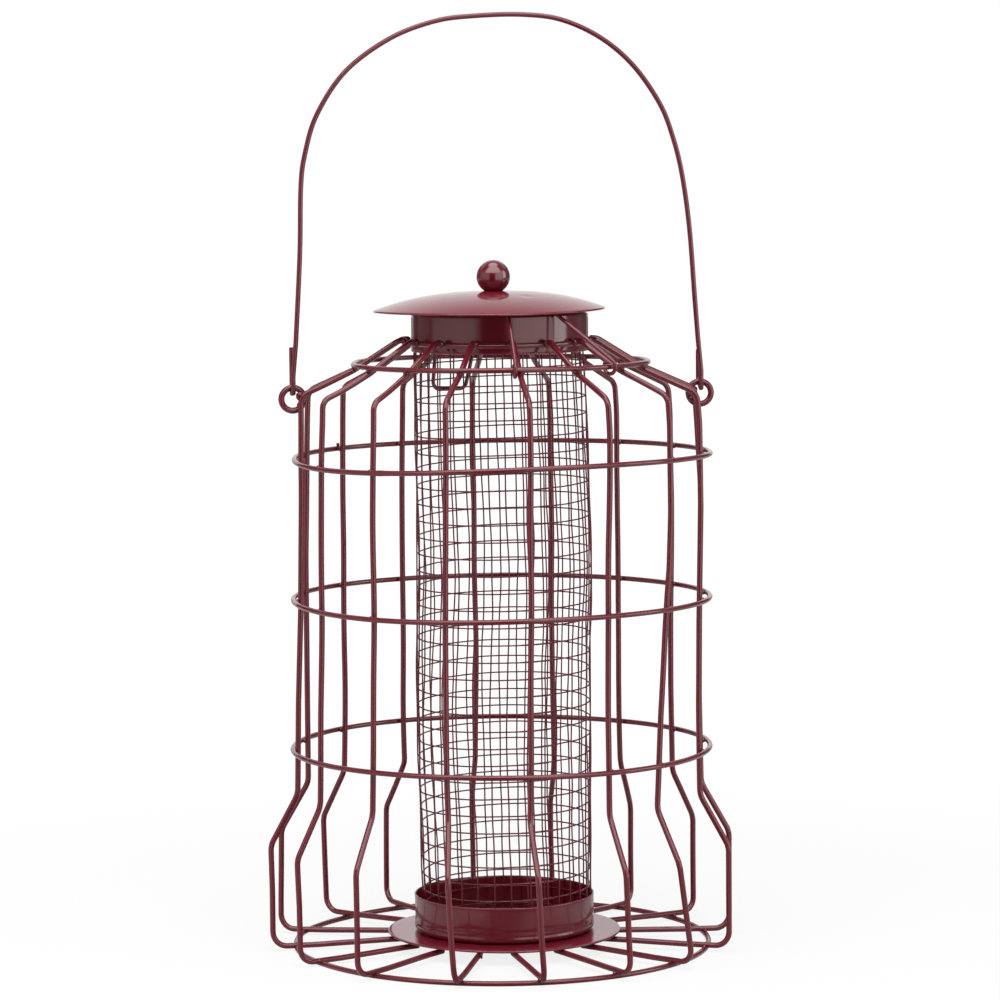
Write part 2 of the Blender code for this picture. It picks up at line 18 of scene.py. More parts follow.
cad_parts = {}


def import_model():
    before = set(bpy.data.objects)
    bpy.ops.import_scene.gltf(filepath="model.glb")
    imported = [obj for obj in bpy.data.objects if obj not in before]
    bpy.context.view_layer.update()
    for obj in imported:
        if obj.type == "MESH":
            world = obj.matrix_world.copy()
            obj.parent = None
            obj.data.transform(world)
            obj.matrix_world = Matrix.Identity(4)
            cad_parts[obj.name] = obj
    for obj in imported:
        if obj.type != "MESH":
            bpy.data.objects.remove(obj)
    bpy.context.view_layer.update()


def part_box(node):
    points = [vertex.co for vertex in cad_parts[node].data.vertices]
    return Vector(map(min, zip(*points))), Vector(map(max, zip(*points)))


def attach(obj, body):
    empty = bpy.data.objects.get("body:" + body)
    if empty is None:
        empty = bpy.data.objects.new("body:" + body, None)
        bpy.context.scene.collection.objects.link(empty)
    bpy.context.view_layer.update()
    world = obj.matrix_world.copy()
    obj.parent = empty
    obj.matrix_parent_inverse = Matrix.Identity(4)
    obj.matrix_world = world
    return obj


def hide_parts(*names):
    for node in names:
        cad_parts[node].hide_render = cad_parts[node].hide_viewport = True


LOG = logging.getLogger("bird_feeder")

MM = 0.001
DEG = math.pi / 180.0
FULL_TURN = 2.0 * math.pi

# Masks kept on the points: darker paint near the welds, and a lighter band along the sheets' rims.
WELD_MASK = "weld_heat"
RIM_MASK = "rim_fade"

Pair = tuple[float, float]
Triple = tuple[float, float, float]
Colour = tuple[float, float, float, float]
Numbers = tuple[float, ...]
HoopBell = tuple[str, float, float, float]

# How finely bends, wires' ends and sheets' edges are drawn, and how uneven a bead is
ARC_STEP = 6.0 * DEG
STRAIGHT = 0.5 * DEG
CLOSEST_SHARE = 0.12
END_RINGS = 4
EDGE_STEPS = 7
BEAD_SWELLS = (0.10, 0.07)


class Slot(Enum):
    """The record's material slots."""

    CAGE_WIRE = "cage_wire"
    FITTINGS_WIRE = "fittings_wire"
    MESH_WIRE = "mesh_wire"
    SHEET_METAL = "sheet_metal"
    SHEET_TOP = "sheet_top"
    KNOB = "knob"


class Body(Enum):
    """The CAD bodies that the pieces ride on."""

    CAGE = "cage"
    LID = "lid"
    HANDLE = "handle"


class WireEnd(Enum):
    """How far a wire's end bulges past its last point, as a share of its radius."""

    ROUND = 1.0
    CUT = 0.35


# Shapes


@dataclass
class Shell:
    """A surface: its points, its four- and three-cornered faces, and masks kept on its points."""

    points: np.ndarray
    quads: np.ndarray
    triangles: np.ndarray
    masks: dict[str, np.ndarray] = field(default_factory=dict)

    def mask(self, name: str, values: np.ndarray) -> "Shell":
        """Keep a mask from 0 to 1 on the points and return the shell."""
        self.masks[name] = np.clip(values, 0.0, 1.0)
        return self

    def turned(self, angle: float) -> "Shell":
        """Turn the shell about Z: (x, y) becomes (x cos a - y sin a, x sin a + y cos a)."""
        x, y, z = self.points.T
        cos, sin = math.cos(angle), math.sin(angle)
        self.points = side_by_side(x * cos - y * sin, x * sin + y * cos, z)
        return self

    def moved(self, shift: Triple) -> "Shell":
        """Shift every point by the same step."""
        self.points = self.points + np.array(shift)
        return self

    @staticmethod
    def joined(shells: list["Shell"]) -> "Shell":
        """Put shells into one, each keeping its own faces.

        Args:
            shells: Shells with the same masks.

        Returns:
            One shell whose face indices are shifted by the points that come before.
        """
        starts = np.cumsum([0] + [len(shell.points) for shell in shells[:-1]])
        masks = {
            name: np.concatenate([shell.masks[name] for shell in shells])
            for name in shells[0].masks
        }
        return Shell(
            np.concatenate([shell.points for shell in shells]),
            np.concatenate([shell.quads + start for shell, start in zip(shells, starts)]),
            np.concatenate([shell.triangles + start for shell, start in zip(shells, starts)]),
            masks,
        )

    def as_object(self, name: str) -> bpy.types.Object:
        """Make a smooth mesh object at the origin from the shell.

        Args:
            name: The object's name.

        Returns:
            The new object, not yet linked to a collection.
        """
        mesh = bpy.data.meshes.new(name)
        faces = self.quads.tolist() + self.triangles.tolist()
        mesh.from_pydata(self.points.tolist(), [], faces)
        mesh.shade_smooth()
        for mask_name, values in self.masks.items():
            layer = mesh.attributes.new(mask_name, "FLOAT", "POINT")
            layer.data.foreach_set("value", values.astype(np.float32))
        mesh.validate()
        return bpy.data.objects.new(name, mesh)


@dataclass(frozen=True)
class HandWave:
    """The unevenness of hand-bent work: four sine waves of falling height with seeded phases."""

    height: float
    length: float
    seed: int

    def at(self, place: np.ndarray) -> np.ndarray:
        """Return the sum over k of height / k * sin(2 pi k place / length + phase k), for k to 4."""
        phases = np.random.default_rng(self.seed).uniform(0.0, FULL_TURN, 4)
        order = np.arange(1, 5)
        angles = FULL_TURN * np.multiply.outer(place, order) / self.length + phases
        return np.sum(self.height / order * np.sin(angles), axis=-1)


def unit(vectors: np.ndarray) -> np.ndarray:
    """Return the vectors divided by their lengths."""
    return vectors / np.linalg.norm(vectors, axis=-1, keepdims=True)


def side_by_side(*columns: float | np.ndarray) -> np.ndarray:
    """Return rows made of one value from each column; a number stands for a whole column."""
    return np.stack(np.broadcast_arrays(*columns), axis=-1)


def round_angles(count: int) -> np.ndarray:
    """Return that many angles, evenly spaced round a turn from 0."""
    return np.linspace(0.0, FULL_TURN, count, endpoint=False)


def angle_from(middle: float | np.ndarray, angle: float | np.ndarray) -> float | np.ndarray:
    """Return the way round from a middle angle to each angle, from minus to plus half a turn."""
    return (angle - middle + math.pi) % FULL_TURN - math.pi


def bell(place: np.ndarray, width: float) -> np.ndarray:
    """Return exp(-(place / width) squared)."""
    return np.exp(-((place / width) ** 2))


def bent_path(corners: list[Triple], bends: list[float]) -> np.ndarray:
    """Round a path's corners by arcs.

    An arc of radius R that turns by a starts R tan(a / 2) before the corner. Its points are the
    centre + R (sin t * way in - cos t * way to the centre), for t from 0 to a.

    Args:
        corners: The straight path's corners.
        bends: The bend radius at each corner; 0 leaves it sharp.

    Returns:
        The points of the rounded path.
    """
    places = np.array(corners, float)
    pieces = [places[:1]]
    for before, corner, after, radius in zip(places, places[1:], places[2:], bends[1:]):
        into, out = unit(corner - before), unit(after - corner)
        turn = math.acos(float(np.clip(into @ out, -1.0, 1.0)))
        if radius <= 0.0 or turn < STRAIGHT:
            pieces.append(corner[None, :])
            continue
        inward = unit(out - into * (into @ out))
        start = corner - into * radius * math.tan(0.5 * turn)
        centre = start + inward * radius
        steps = np.linspace(0.0, turn, max(4, math.ceil(turn / ARC_STEP)))[:, None]
        pieces.append(centre + radius * (np.sin(steps) * into - np.cos(steps) * inward))
    pieces.append(places[-1:])
    return np.concatenate(pieces)


def path_length(path: np.ndarray) -> np.ndarray:
    """Return the distance along a path at each of its points."""
    return np.concatenate(([0.0], np.cumsum(np.linalg.norm(np.diff(path, axis=0), axis=1))))


def refined(path: np.ndarray, spacing: float) -> np.ndarray:
    """Add points on a path's straight stretches.

    The stations are the path's own and one every spacing; each coordinate is interpolated.

    Args:
        path: The points of the path.
        spacing: The distance between added points.

    Returns:
        The path with its old and new points in order.
    """
    along = path_length(path)
    stations = np.union1d(along, np.arange(0.0, along[-1], spacing))
    keep = np.concatenate(([True], np.diff(stations) > CLOSEST_SHARE * spacing))
    keep[-1] = True
    stations = stations[keep]
    return side_by_side(*(np.interp(stations, along, axis) for axis in path.T))


def smooth_path(controls: np.ndarray, steps: int) -> np.ndarray:
    """Draw a Catmull-Rom curve through points.

    Between p1 and p2 it is half of 2 p1 + (p2 - p0) t + (2 p0 - 5 p1 + 4 p2 - p3) t^2
    + (3 p1 - p0 - 3 p2 + p3) t^3, and the ends are padded by mirror points.

    Args:
        controls: The points that it goes through.
        steps: The points on each stretch.

    Returns:
        The points of the curve.
    """
    padded = np.vstack((2 * controls[0] - controls[1], controls, 2 * controls[-1] - controls[-2]))
    p0, p1, p2, p3 = (padded[start : len(padded) - 3 + start, None] for start in range(4))
    t = np.linspace(0.0, 1.0, steps, endpoint=False)[None, :, None]
    curve = 0.5 * (
        2 * p1
        + (p2 - p0) * t
        + (2 * p0 - 5 * p1 + 4 * p2 - p3) * t**2
        + (3 * p1 - p0 - 3 * p2 + p3) * t**3
    )
    return np.vstack((curve.reshape(-1, controls.shape[1]), controls[-1:]))


def steady_normals(tangents: np.ndarray, closed: bool) -> np.ndarray:
    """Find normals that don't spin along a path.

    Any normals are taken first. The turn that carries one tangent to the next is applied to each,
    its angle to the next normal is the spin there, and the summed spin is turned back. On a closed
    path the angle left over is shared out evenly.

    Args:
        tangents: Unit tangents along the path.
        closed: Whether the last point joins the first.

    Returns:
        Unit normals, one to a point.
    """
    axes = np.eye(3)[np.argmin(np.abs(tangents), axis=1)]
    normals = unit(np.cross(tangents, axes))
    count = len(tangents)
    following = np.arange(1, count + 1) % count
    here, ahead = tangents, tangents[following]
    turn = np.cross(here, ahead)
    cosine = np.sum(here * ahead, axis=1)[:, None]
    along = np.sum(turn * normals, axis=1)[:, None] / (1.0 + np.maximum(cosine, -0.99))
    carried = normals * cosine + np.cross(turn, normals) + turn * along
    target = normals[following]
    sine = np.sum(np.cross(carried, target) * ahead, axis=1)
    spin = np.arctan2(sine, np.sum(carried * target, axis=1))
    angles = -np.concatenate(([0.0], np.cumsum(spin)))
    if closed:
        angles[:-1] -= angle_from(0.0, angles[-1]) * np.arange(count) / count
    angles = angles[:-1, None]
    return normals * np.cos(angles) + np.cross(tangents, normals) * np.sin(angles)


def grid_quads(rows: int, columns: int, wrap_rows: bool, wrap_columns: bool) -> np.ndarray:
    """Return the faces of a grid of points: row r, column c, then the corner that follows each.

    Args:
        rows: The number of rows.
        columns: The number of points in a row.
        wrap_rows: Whether the last row joins the first.
        wrap_columns: Whether the last column joins the first.

    Returns:
        Indices of the four corners of each face, outward where columns run round and rows along.
    """
    row = np.arange(rows if wrap_rows else rows - 1)[:, None]
    column = np.arange(columns if wrap_columns else columns - 1)[None, :]
    next_row, next_column = (row + 1) % rows, (column + 1) % columns
    return side_by_side(
        row * columns + column,
        row * columns + next_column,
        next_row * columns + next_column,
        next_row * columns + column,
    ).reshape(-1, 4)


def swept_wire(
    path: np.ndarray,
    radius: float | np.ndarray,
    sides: int = 12,
    closed: bool = False,
    end: WireEnd = WireEnd.CUT,
) -> Shell:
    """Carry a circle along a path.

    The point at step i and angle a is path i + radius i (cos a * normal i + sin a * binormal i).
    An open wire gets domed ends: three rings whose radius falls as a cosine while they move out as
    a sine, and a pole.

    Args:
        path: The wire's centre line.
        radius: The wire's radius, or one for each point.
        sides: The number of points round the wire.
        closed: Whether the wire is a hoop.
        end: How far the ends bulge.

    Returns:
        The wire's surface.
    """
    radii = np.broadcast_to(np.asarray(radius, float), len(path)).copy()
    if closed:
        tangents = unit(np.roll(path, -1, axis=0) - np.roll(path, 1, axis=0))
    else:
        tangents = unit(np.gradient(path, axis=0))
    normals = steady_normals(tangents, closed)
    if not closed:
        slant = np.linspace(0.0, 90.0, END_RINGS + 1)[1:] * DEG
        reach = end.value * np.sin(slant)[:, None]
        shrink = np.maximum(np.cos(slant), 0.0)
        head = path[0] - tangents[0] * radii[0] * reach
        tail = path[-1] + tangents[-1] * radii[-1] * reach
        path = np.vstack((head[::-1], path, tail))
        radii = np.concatenate((radii[0] * shrink[::-1], radii, radii[-1] * shrink))
        rows = ((END_RINGS, END_RINGS), (0, 0))
        normals, tangents = np.pad(normals, rows, "edge"), np.pad(tangents, rows, "edge")
    binormals = np.cross(tangents, normals)
    angle = round_angles(sides)[None, :, None]
    ring = np.cos(angle) * normals[:, None] + np.sin(angle) * binormals[:, None]
    points = path[:, None] + radii[:, None, None] * ring
    if closed:
        return Shell(points.reshape(-1, 3), grid_quads(len(path), sides, True, True), no_triangles())
    body = points[1:-1].reshape(-1, 3)
    return capped(body, len(path) - 2, sides, path[0], path[-1])


def no_triangles() -> np.ndarray:
    """Return an empty list of three-cornered faces."""
    return np.zeros((0, 3), int)


def capped(body: np.ndarray, rows: int, columns: int, first: np.ndarray, last: np.ndarray) -> Shell:
    """Close both ends of a round grid by fans to a pole.

    Args:
        body: The grid's points, row after row.
        rows: The number of rows.
        columns: The number of points in a row.
        first: The pole before the first row.
        last: The pole after the last row.

    Returns:
        The closed shell.
    """
    points = np.vstack((body, first, last))
    column = np.arange(columns)
    following = (column + 1) % columns
    start = (rows - 1) * columns
    head = side_by_side(len(body), following, column)
    tail = side_by_side(len(body) + 1, start + column, start + following)
    return Shell(points, grid_quads(rows, columns, False, True), np.vstack((head, tail)))


def spun_sheet(profile: np.ndarray, count: int) -> Shell:
    """Turn a profile round Z: (r, z) becomes (r cos a, r sin a, z) at each angle a.

    Args:
        profile: Closed loop of (radius, height), counter-clockwise with radius to the right, or an
            open one from the bottom pole to the top pole, both at radius 0.
        count: The number of angles.

    Returns:
        The turned surface.
    """
    closed = profile[0, 0] > 0.0
    radii, heights = (profile if closed else profile[1:-1]).T[:, :, None]
    angle = round_angles(count)
    points = side_by_side(radii * np.cos(angle), radii * np.sin(angle), heights).reshape(-1, 3)
    if closed:
        return Shell(points, grid_quads(len(radii), count, True, True), no_triangles())
    poles = np.array([[0.0, 0.0, profile[0, 1]], [0.0, 0.0, profile[-1, 1]]])
    return capped(points, len(radii), count, poles[0], poles[1])


def arc_pairs(centre: Pair, radius: float, start: float, end: float, count: int) -> np.ndarray:
    """Return (radius, height) pairs centre + R (cos t, sin t), for t from start to end."""
    angle = np.linspace(start, end, count)
    return side_by_side(centre[0] + radius * np.cos(angle), centre[1] + radius * np.sin(angle))


def sheet_sides(outer: np.ndarray, wall: float) -> tuple[np.ndarray, np.ndarray, np.ndarray]:
    """Find what an outer line needs to be a sheet of metal: its inner side and rounded edges.

    The inner line is the outer one moved by the wall along its left-hand normal, and a half circle
    of half the wall's radius joins them at each end.

    Args:
        outer: Open line of (radius, height) with the outside on its right.
        wall: The sheet's thickness.

    Returns:
        The inner line in the outer one's order, and the edges at the last and the first point.
    """
    along = unit(np.gradient(outer, axis=0))
    left = side_by_side(-along[:, 1], along[:, 0])
    inner = outer + wall * left
    turn = np.linspace(0.0, math.pi, EDGE_STEPS)[1:-1, None]
    top = outer[-1] + 0.5 * wall * (left[-1] * (1.0 - np.cos(turn)) + along[-1] * np.sin(turn))
    foot = inner[0] - 0.5 * wall * (left[0] * (1.0 - np.cos(turn)) + along[0] * np.sin(turn))
    return inner, top, foot


def sheet_profile(outer: np.ndarray, wall: float) -> np.ndarray:
    """Return the closed profile of a sheet of metal, given its outer line and its wall."""
    inner, top, foot = sheet_sides(outer, wall)
    return np.vstack((outer, top, inner[::-1], foot))


def lump(centre: np.ndarray, axes: np.ndarray, sizes: Triple, seed: int) -> Shell:
    """Build a weld bead: a ball stretched along three axes, its surface uneven.

    Its point at (u, v) is the centre + the sum of size * axis * (cos u sin v, sin u sin v, -cos v),
    times 1 + two seeded sine waves in u and v.

    Args:
        centre: The bead's centre.
        axes: Three unit axes, one to a row.
        sizes: Half lengths along the axes.
        seed: The seed of the unevenness.

    Returns:
        The bead's closed surface.
    """
    columns, rows = 10, 6
    phases = np.random.default_rng(seed).uniform(0.0, FULL_TURN, 3)
    u = round_angles(columns)
    v = np.linspace(0.0, math.pi, rows + 2)[1:-1, None]
    round_swell = BEAD_SWELLS[0] * np.sin(2.0 * u + phases[0]) * np.sin(v)
    swell = 1.0 + round_swell + BEAD_SWELLS[1] * np.sin(3.0 * v + phases[1])
    parts = (np.cos(u) * np.sin(v) * swell, np.sin(u) * np.sin(v) * swell, -np.cos(v) * swell)
    body = sum(part[..., None] * size * axis for part, size, axis in zip(parts, sizes, axes))
    pole = axes[2] * sizes[2]
    return capped((centre + body).reshape(-1, 3), rows, columns, centre - pole, centre + pole)


def spoke_frame(angle: float) -> np.ndarray:
    """Return the unit ways out from the axis, round it and up, at an angle about Z."""
    cos, sin = math.cos(angle), math.sin(angle)
    return np.array([[cos, sin, 0.0], [-sin, cos, 0.0], [0.0, 0.0, 1.0]])


def ring_place(radius: float, angle: float, height: float) -> np.ndarray:
    """Return the point at a radius, an angle about Z and a height."""
    return np.array([radius * math.cos(angle), radius * math.sin(angle), height])


def nearness(points: np.ndarray, centres: np.ndarray, reach: float) -> np.ndarray:
    """Return exp(-(distance / reach) squared) for the nearest of the centres to each point."""
    squared = np.full(len(points), np.inf)
    for centre in centres:
        squared = np.minimum(squared, np.sum((points - centre) ** 2, axis=1))
    return np.exp(-squared / reach**2)


# Paint


def grey(level: float) -> Colour:
    """Return the opaque grey of one brightness."""
    return (level, level, level, 1.0)


class NodeBench:
    """Adds and joins shader nodes in one tree."""

    def __init__(self, tree: bpy.types.NodeTree) -> None:
        """Keep the tree."""
        self.tree = tree

    def plug(self, slot: bpy.types.NodeSocket, value: object) -> None:
        """Join a socket to an input, or make any other value the input's own."""
        if isinstance(value, bpy.types.NodeSocket):
            self.tree.links.new(value, slot)
        else:
            slot.default_value = value

    def feed(self, node: bpy.types.Node, values: dict[str, object]) -> None:
        """Plug the inputs whose names are in values, with spaces written as underscores."""
        for name, value in values.items():
            label = name.replace("_", " ")
            if label in node.inputs:
                self.plug(node.inputs[label], value)

    def node(self, kind: str, **settings: object) -> bpy.types.Node:
        """Add a node and set its named properties and input sockets.

        Args:
            kind: The node's Blender type.
            **settings: Properties by name, and inputs by name with underscores for spaces.

        Returns:
            The new node.
        """
        node = self.tree.nodes.new(kind)
        for name, value in settings.items():
            if hasattr(node, name) and name not in node.inputs:
                setattr(node, name, value)
        self.feed(node, settings)
        return node

    def maths(self, operation: str, *values: object) -> bpy.types.NodeSocket:
        """Add a Math node and return its result."""
        node = self.node("ShaderNodeMath", operation=operation)
        for slot, value in zip(node.inputs, values):
            self.plug(slot, value)
        return node.outputs[0]

    def mixed(self, share: object, one: object, other: object) -> bpy.types.NodeSocket:
        """Mix two colours by a share and return the colour."""
        node = self.node("ShaderNodeMix", data_type="RGBA")
        for slot, value in ((0, share), (6, one), (7, other)):
            self.plug(node.inputs[slot], value)
        return node.outputs[2]

    def ramped(self, value: bpy.types.NodeSocket, ends: Pair) -> bpy.types.NodeSocket:
        """Map a value from the two ends to 0 and 1, with soft ends, and return it."""
        node = self.node(
            "ShaderNodeMapRange", interpolation_type="SMOOTHSTEP", Value=value, From_Min=ends[0],
            From_Max=ends[1],
        )
        return node.outputs["Result"]

    def noise(self, place: bpy.types.NodeSocket, **settings: object) -> bpy.types.NodeSocket:
        """Add a noise at a place and return its value."""
        return self.node("ShaderNodeTexNoise", Vector=place, **settings).outputs[0]


def new_group(
    name: str, inputs: dict[str, float | Colour], outputs: list[str]
) -> tuple[NodeBench, bpy.types.NodeOutputs]:
    """Start a shader node group whose first input is a place.

    Args:
        name: The group's name.
        inputs: The other inputs' names with their defaults: a number, or a colour.
        outputs: Output names; one that ends in Colour is a colour, and any other a value.

    Returns:
        A bench that adds nodes to the group's tree, and the group's inputs.
    """
    tree = bpy.data.node_groups.new(name, "ShaderNodeTree")
    for label, default in {"Place": (0.0, 0.0, 0.0), **inputs}.items():
        size = len(default) if isinstance(default, tuple) else 1
        kind = {1: "NodeSocketFloat", 3: "NodeSocketVector", 4: "NodeSocketColor"}[size]
        socket = tree.interface.new_socket(label, in_out="INPUT", socket_type=kind)
        socket.default_value = default
    for label in outputs:
        kind = "NodeSocketColor" if label.endswith("Colour") else "NodeSocketFloat"
        tree.interface.new_socket(label, in_out="OUTPUT", socket_type=kind)
    bench = NodeBench(tree)
    return bench, bench.node("NodeGroupInput").outputs


@dataclass
class PaintShop:
    """The node groups that all the finishes use, each built once."""

    any_red: Colour = (0.1, 0.0, 0.0, 1.0)
    any_mark: Colour = (0.05, 0.0, 0.0, 1.0)
    broad_scale: float = 0.12
    broad_height: float = 8.0
    thin_ends: Pair = (0.42, 0.74)
    thin_roughness: float = 0.12
    speck_ends: Pair = (0.35, 0.62)
    upward_ends: Pair = (0.35, 1.0)
    dust_scale: float = 220.0
    dust_ends: Pair = (0.40, 0.75)

    def __post_init__(self) -> None:
        """Build the four groups."""
        self.peel = self.build_peel()
        self.film = self.build_film()
        self.heat = self.build_heat()
        self.dust = self.build_dust()

    def build_peel(self) -> bpy.types.NodeTree:
        """Return the orange peel of sprayed powder: fine and coarse waves in the film's height."""
        bench, inlet = new_group("orange_peel", {"Scale": 500.0, "Waviness": 0.3}, ["Height"])
        fine = bench.noise(inlet["Place"], Scale=inlet["Scale"], Detail=2.0)
        scale = bench.maths("MULTIPLY", inlet["Scale"], self.broad_scale)
        broad = bench.noise(inlet["Place"], Scale=scale, Detail=1.0)
        height = bench.maths("MULTIPLY", inlet["Waviness"], self.broad_height)
        wave = bench.maths("MULTIPLY", broad, height)
        bench.node("NodeGroupOutput", Height=bench.maths("ADD", fine, wave))
        return bench.tree

    def build_film(self) -> bpy.types.NodeTree:
        """Return the film's uneven thickness: where it is thin the colour is duller and rougher."""
        colours = {"Full Colour": self.any_red, "Thin Colour": self.any_red}
        inputs = {"Scale": 60.0, **colours, "Amount": 0.5, "Gloss": 0.25}
        bench, inlet = new_group("paint_film", inputs, ["Film Colour", "Roughness"])
        cloud = bench.noise(inlet["Place"], Scale=inlet["Scale"], Detail=4.0, Roughness=0.6)
        share = bench.maths("MULTIPLY", bench.ramped(cloud, self.thin_ends), inlet["Amount"])
        colour = bench.mixed(share, inlet["Full Colour"], inlet["Thin Colour"])
        rough = bench.maths("MULTIPLY_ADD", share, self.thin_roughness, inlet["Gloss"])
        bench.node("NodeGroupOutput", Film_Colour=colour, Roughness=rough)
        return bench.tree

    def build_heat(self) -> bpy.types.NodeTree:
        """Return the paint's marks: a mask broken up by specks mixes in the mark colour, darker over welds
        and lighter along sheets' rims.
        """
        colours = {"Base Colour": self.any_red, "Mark Colour": self.any_mark}
        inputs = {**colours, "Mask": 0.0, "Strength": 0.6, "Speck Scale": 900.0}
        bench, inlet = new_group("spot_marks", inputs, ["Marked Colour", "Mark"])
        speck = bench.noise(inlet["Place"], Scale=inlet["Speck Scale"], Detail=3.0)
        broken = bench.maths("MULTIPLY", inlet["Mask"], bench.ramped(speck, self.speck_ends))
        mark = bench.maths("MULTIPLY", broken, inlet["Strength"])
        colour = bench.mixed(mark, inlet["Base Colour"], inlet["Mark Colour"])
        bench.node("NodeGroupOutput", Marked_Colour=colour, Mark=mark)
        return bench.tree

    def build_dust(self) -> bpy.types.NodeTree:
        """Return a breath of dust on faces that look up."""
        inputs = {"Base Colour": self.any_red, "Dust Colour": (0.4, 0.3, 0.28, 1.0), "Amount": 0.1}
        bench, inlet = new_group("settled_dust", inputs, ["Dusty Colour", "Dust"])
        facing = bench.node("ShaderNodeNewGeometry").outputs["Normal"]
        up = bench.node("ShaderNodeSeparateXYZ", Vector=facing).outputs["Z"]
        settled = bench.ramped(up, self.upward_ends)
        cloud = bench.noise(inlet["Place"], Scale=self.dust_scale, Detail=5.0)
        patchy = bench.maths("MULTIPLY", settled, bench.ramped(cloud, self.dust_ends))
        dust = bench.maths("MULTIPLY", patchy, inlet["Amount"])
        colour = bench.mixed(dust, inlet["Base Colour"], inlet["Dust Colour"])
        bench.node("NodeGroupOutput", Dusty_Colour=colour, Dust=dust)
        return bench.tree


@dataclass(frozen=True)
class RedPaint:
    """One glossy powder coat: its colours, its gloss and how its film lies."""

    slot: Slot
    full: Triple = (0.140, 0.0075, 0.0165)
    thin: Triple = (0.150, 0.012, 0.021)
    mark: Triple = (0.040, 0.008, 0.010)
    gloss: float = 0.36
    sheen_level: float = 0.16
    coat: float = 0.68
    coat_gloss: float = 0.06
    film_scale: float = 60.0
    film_amount: float = 0.6
    peel_scale: float = 700.0
    peel_height: float = 0.010 * MM
    waviness: float = 0.3
    dust: float = 0.02
    mask: str = WELD_MASK
    mark_strength: float = 0.6
    mark_roughness: float = 0.35

    def mixed_up(self, shop: PaintShop) -> bpy.types.Material:
        """Make the material from the shop's groups and the finish's own values.

        Args:
            shop: The shared node groups.

        Returns:
            The material.
        """
        material = bpy.data.materials.new(f"red_paint_{self.slot.value}")
        material.use_nodes = True
        bench = NodeBench(material.node_tree)
        place = bench.node("ShaderNodeTexCoord").outputs["Object"]
        film = bench.node(
            "ShaderNodeGroup", node_tree=shop.film, Place=place, Scale=self.film_scale, Gloss=self.gloss,
            Full_Colour=(*self.full, 1.0), Thin_Colour=(*self.thin, 1.0), Amount=self.film_amount,
        ).outputs
        mask = bench.node("ShaderNodeAttribute", attribute_name=self.mask).outputs["Fac"]
        marks = bench.node(
            "ShaderNodeGroup", node_tree=shop.heat, Place=place, Base_Colour=film["Film Colour"],
            Mark_Colour=(*self.mark, 1.0), Mask=mask, Strength=self.mark_strength,
        ).outputs
        dust = bench.node(
            "ShaderNodeGroup", node_tree=shop.dust, Place=place, Base_Colour=marks["Marked Colour"],
            Amount=self.dust,
        ).outputs
        peel = bench.node(
            "ShaderNodeGroup", node_tree=shop.peel, Place=place, Scale=self.peel_scale,
            Waviness=self.waviness,
        ).outputs
        rough = bench.maths("MULTIPLY_ADD", marks["Mark"], self.mark_roughness, film["Roughness"])
        rough = bench.maths("ADD", rough, dust["Dust"])
        bump = bench.node("ShaderNodeBump", Strength=1.0, Distance=self.peel_height, Height=peel["Height"])
        bench.feed(material.node_tree.nodes["Principled BSDF"], {
            "Base Color": dust["Dusty Colour"], "Roughness": rough, "Normal": bump.outputs["Normal"],
            "Coat Weight": self.coat, "Coat Roughness": self.coat_gloss, "IOR": 1.5,
            "Specular IOR Level": self.sheen_level,
        })
        return material


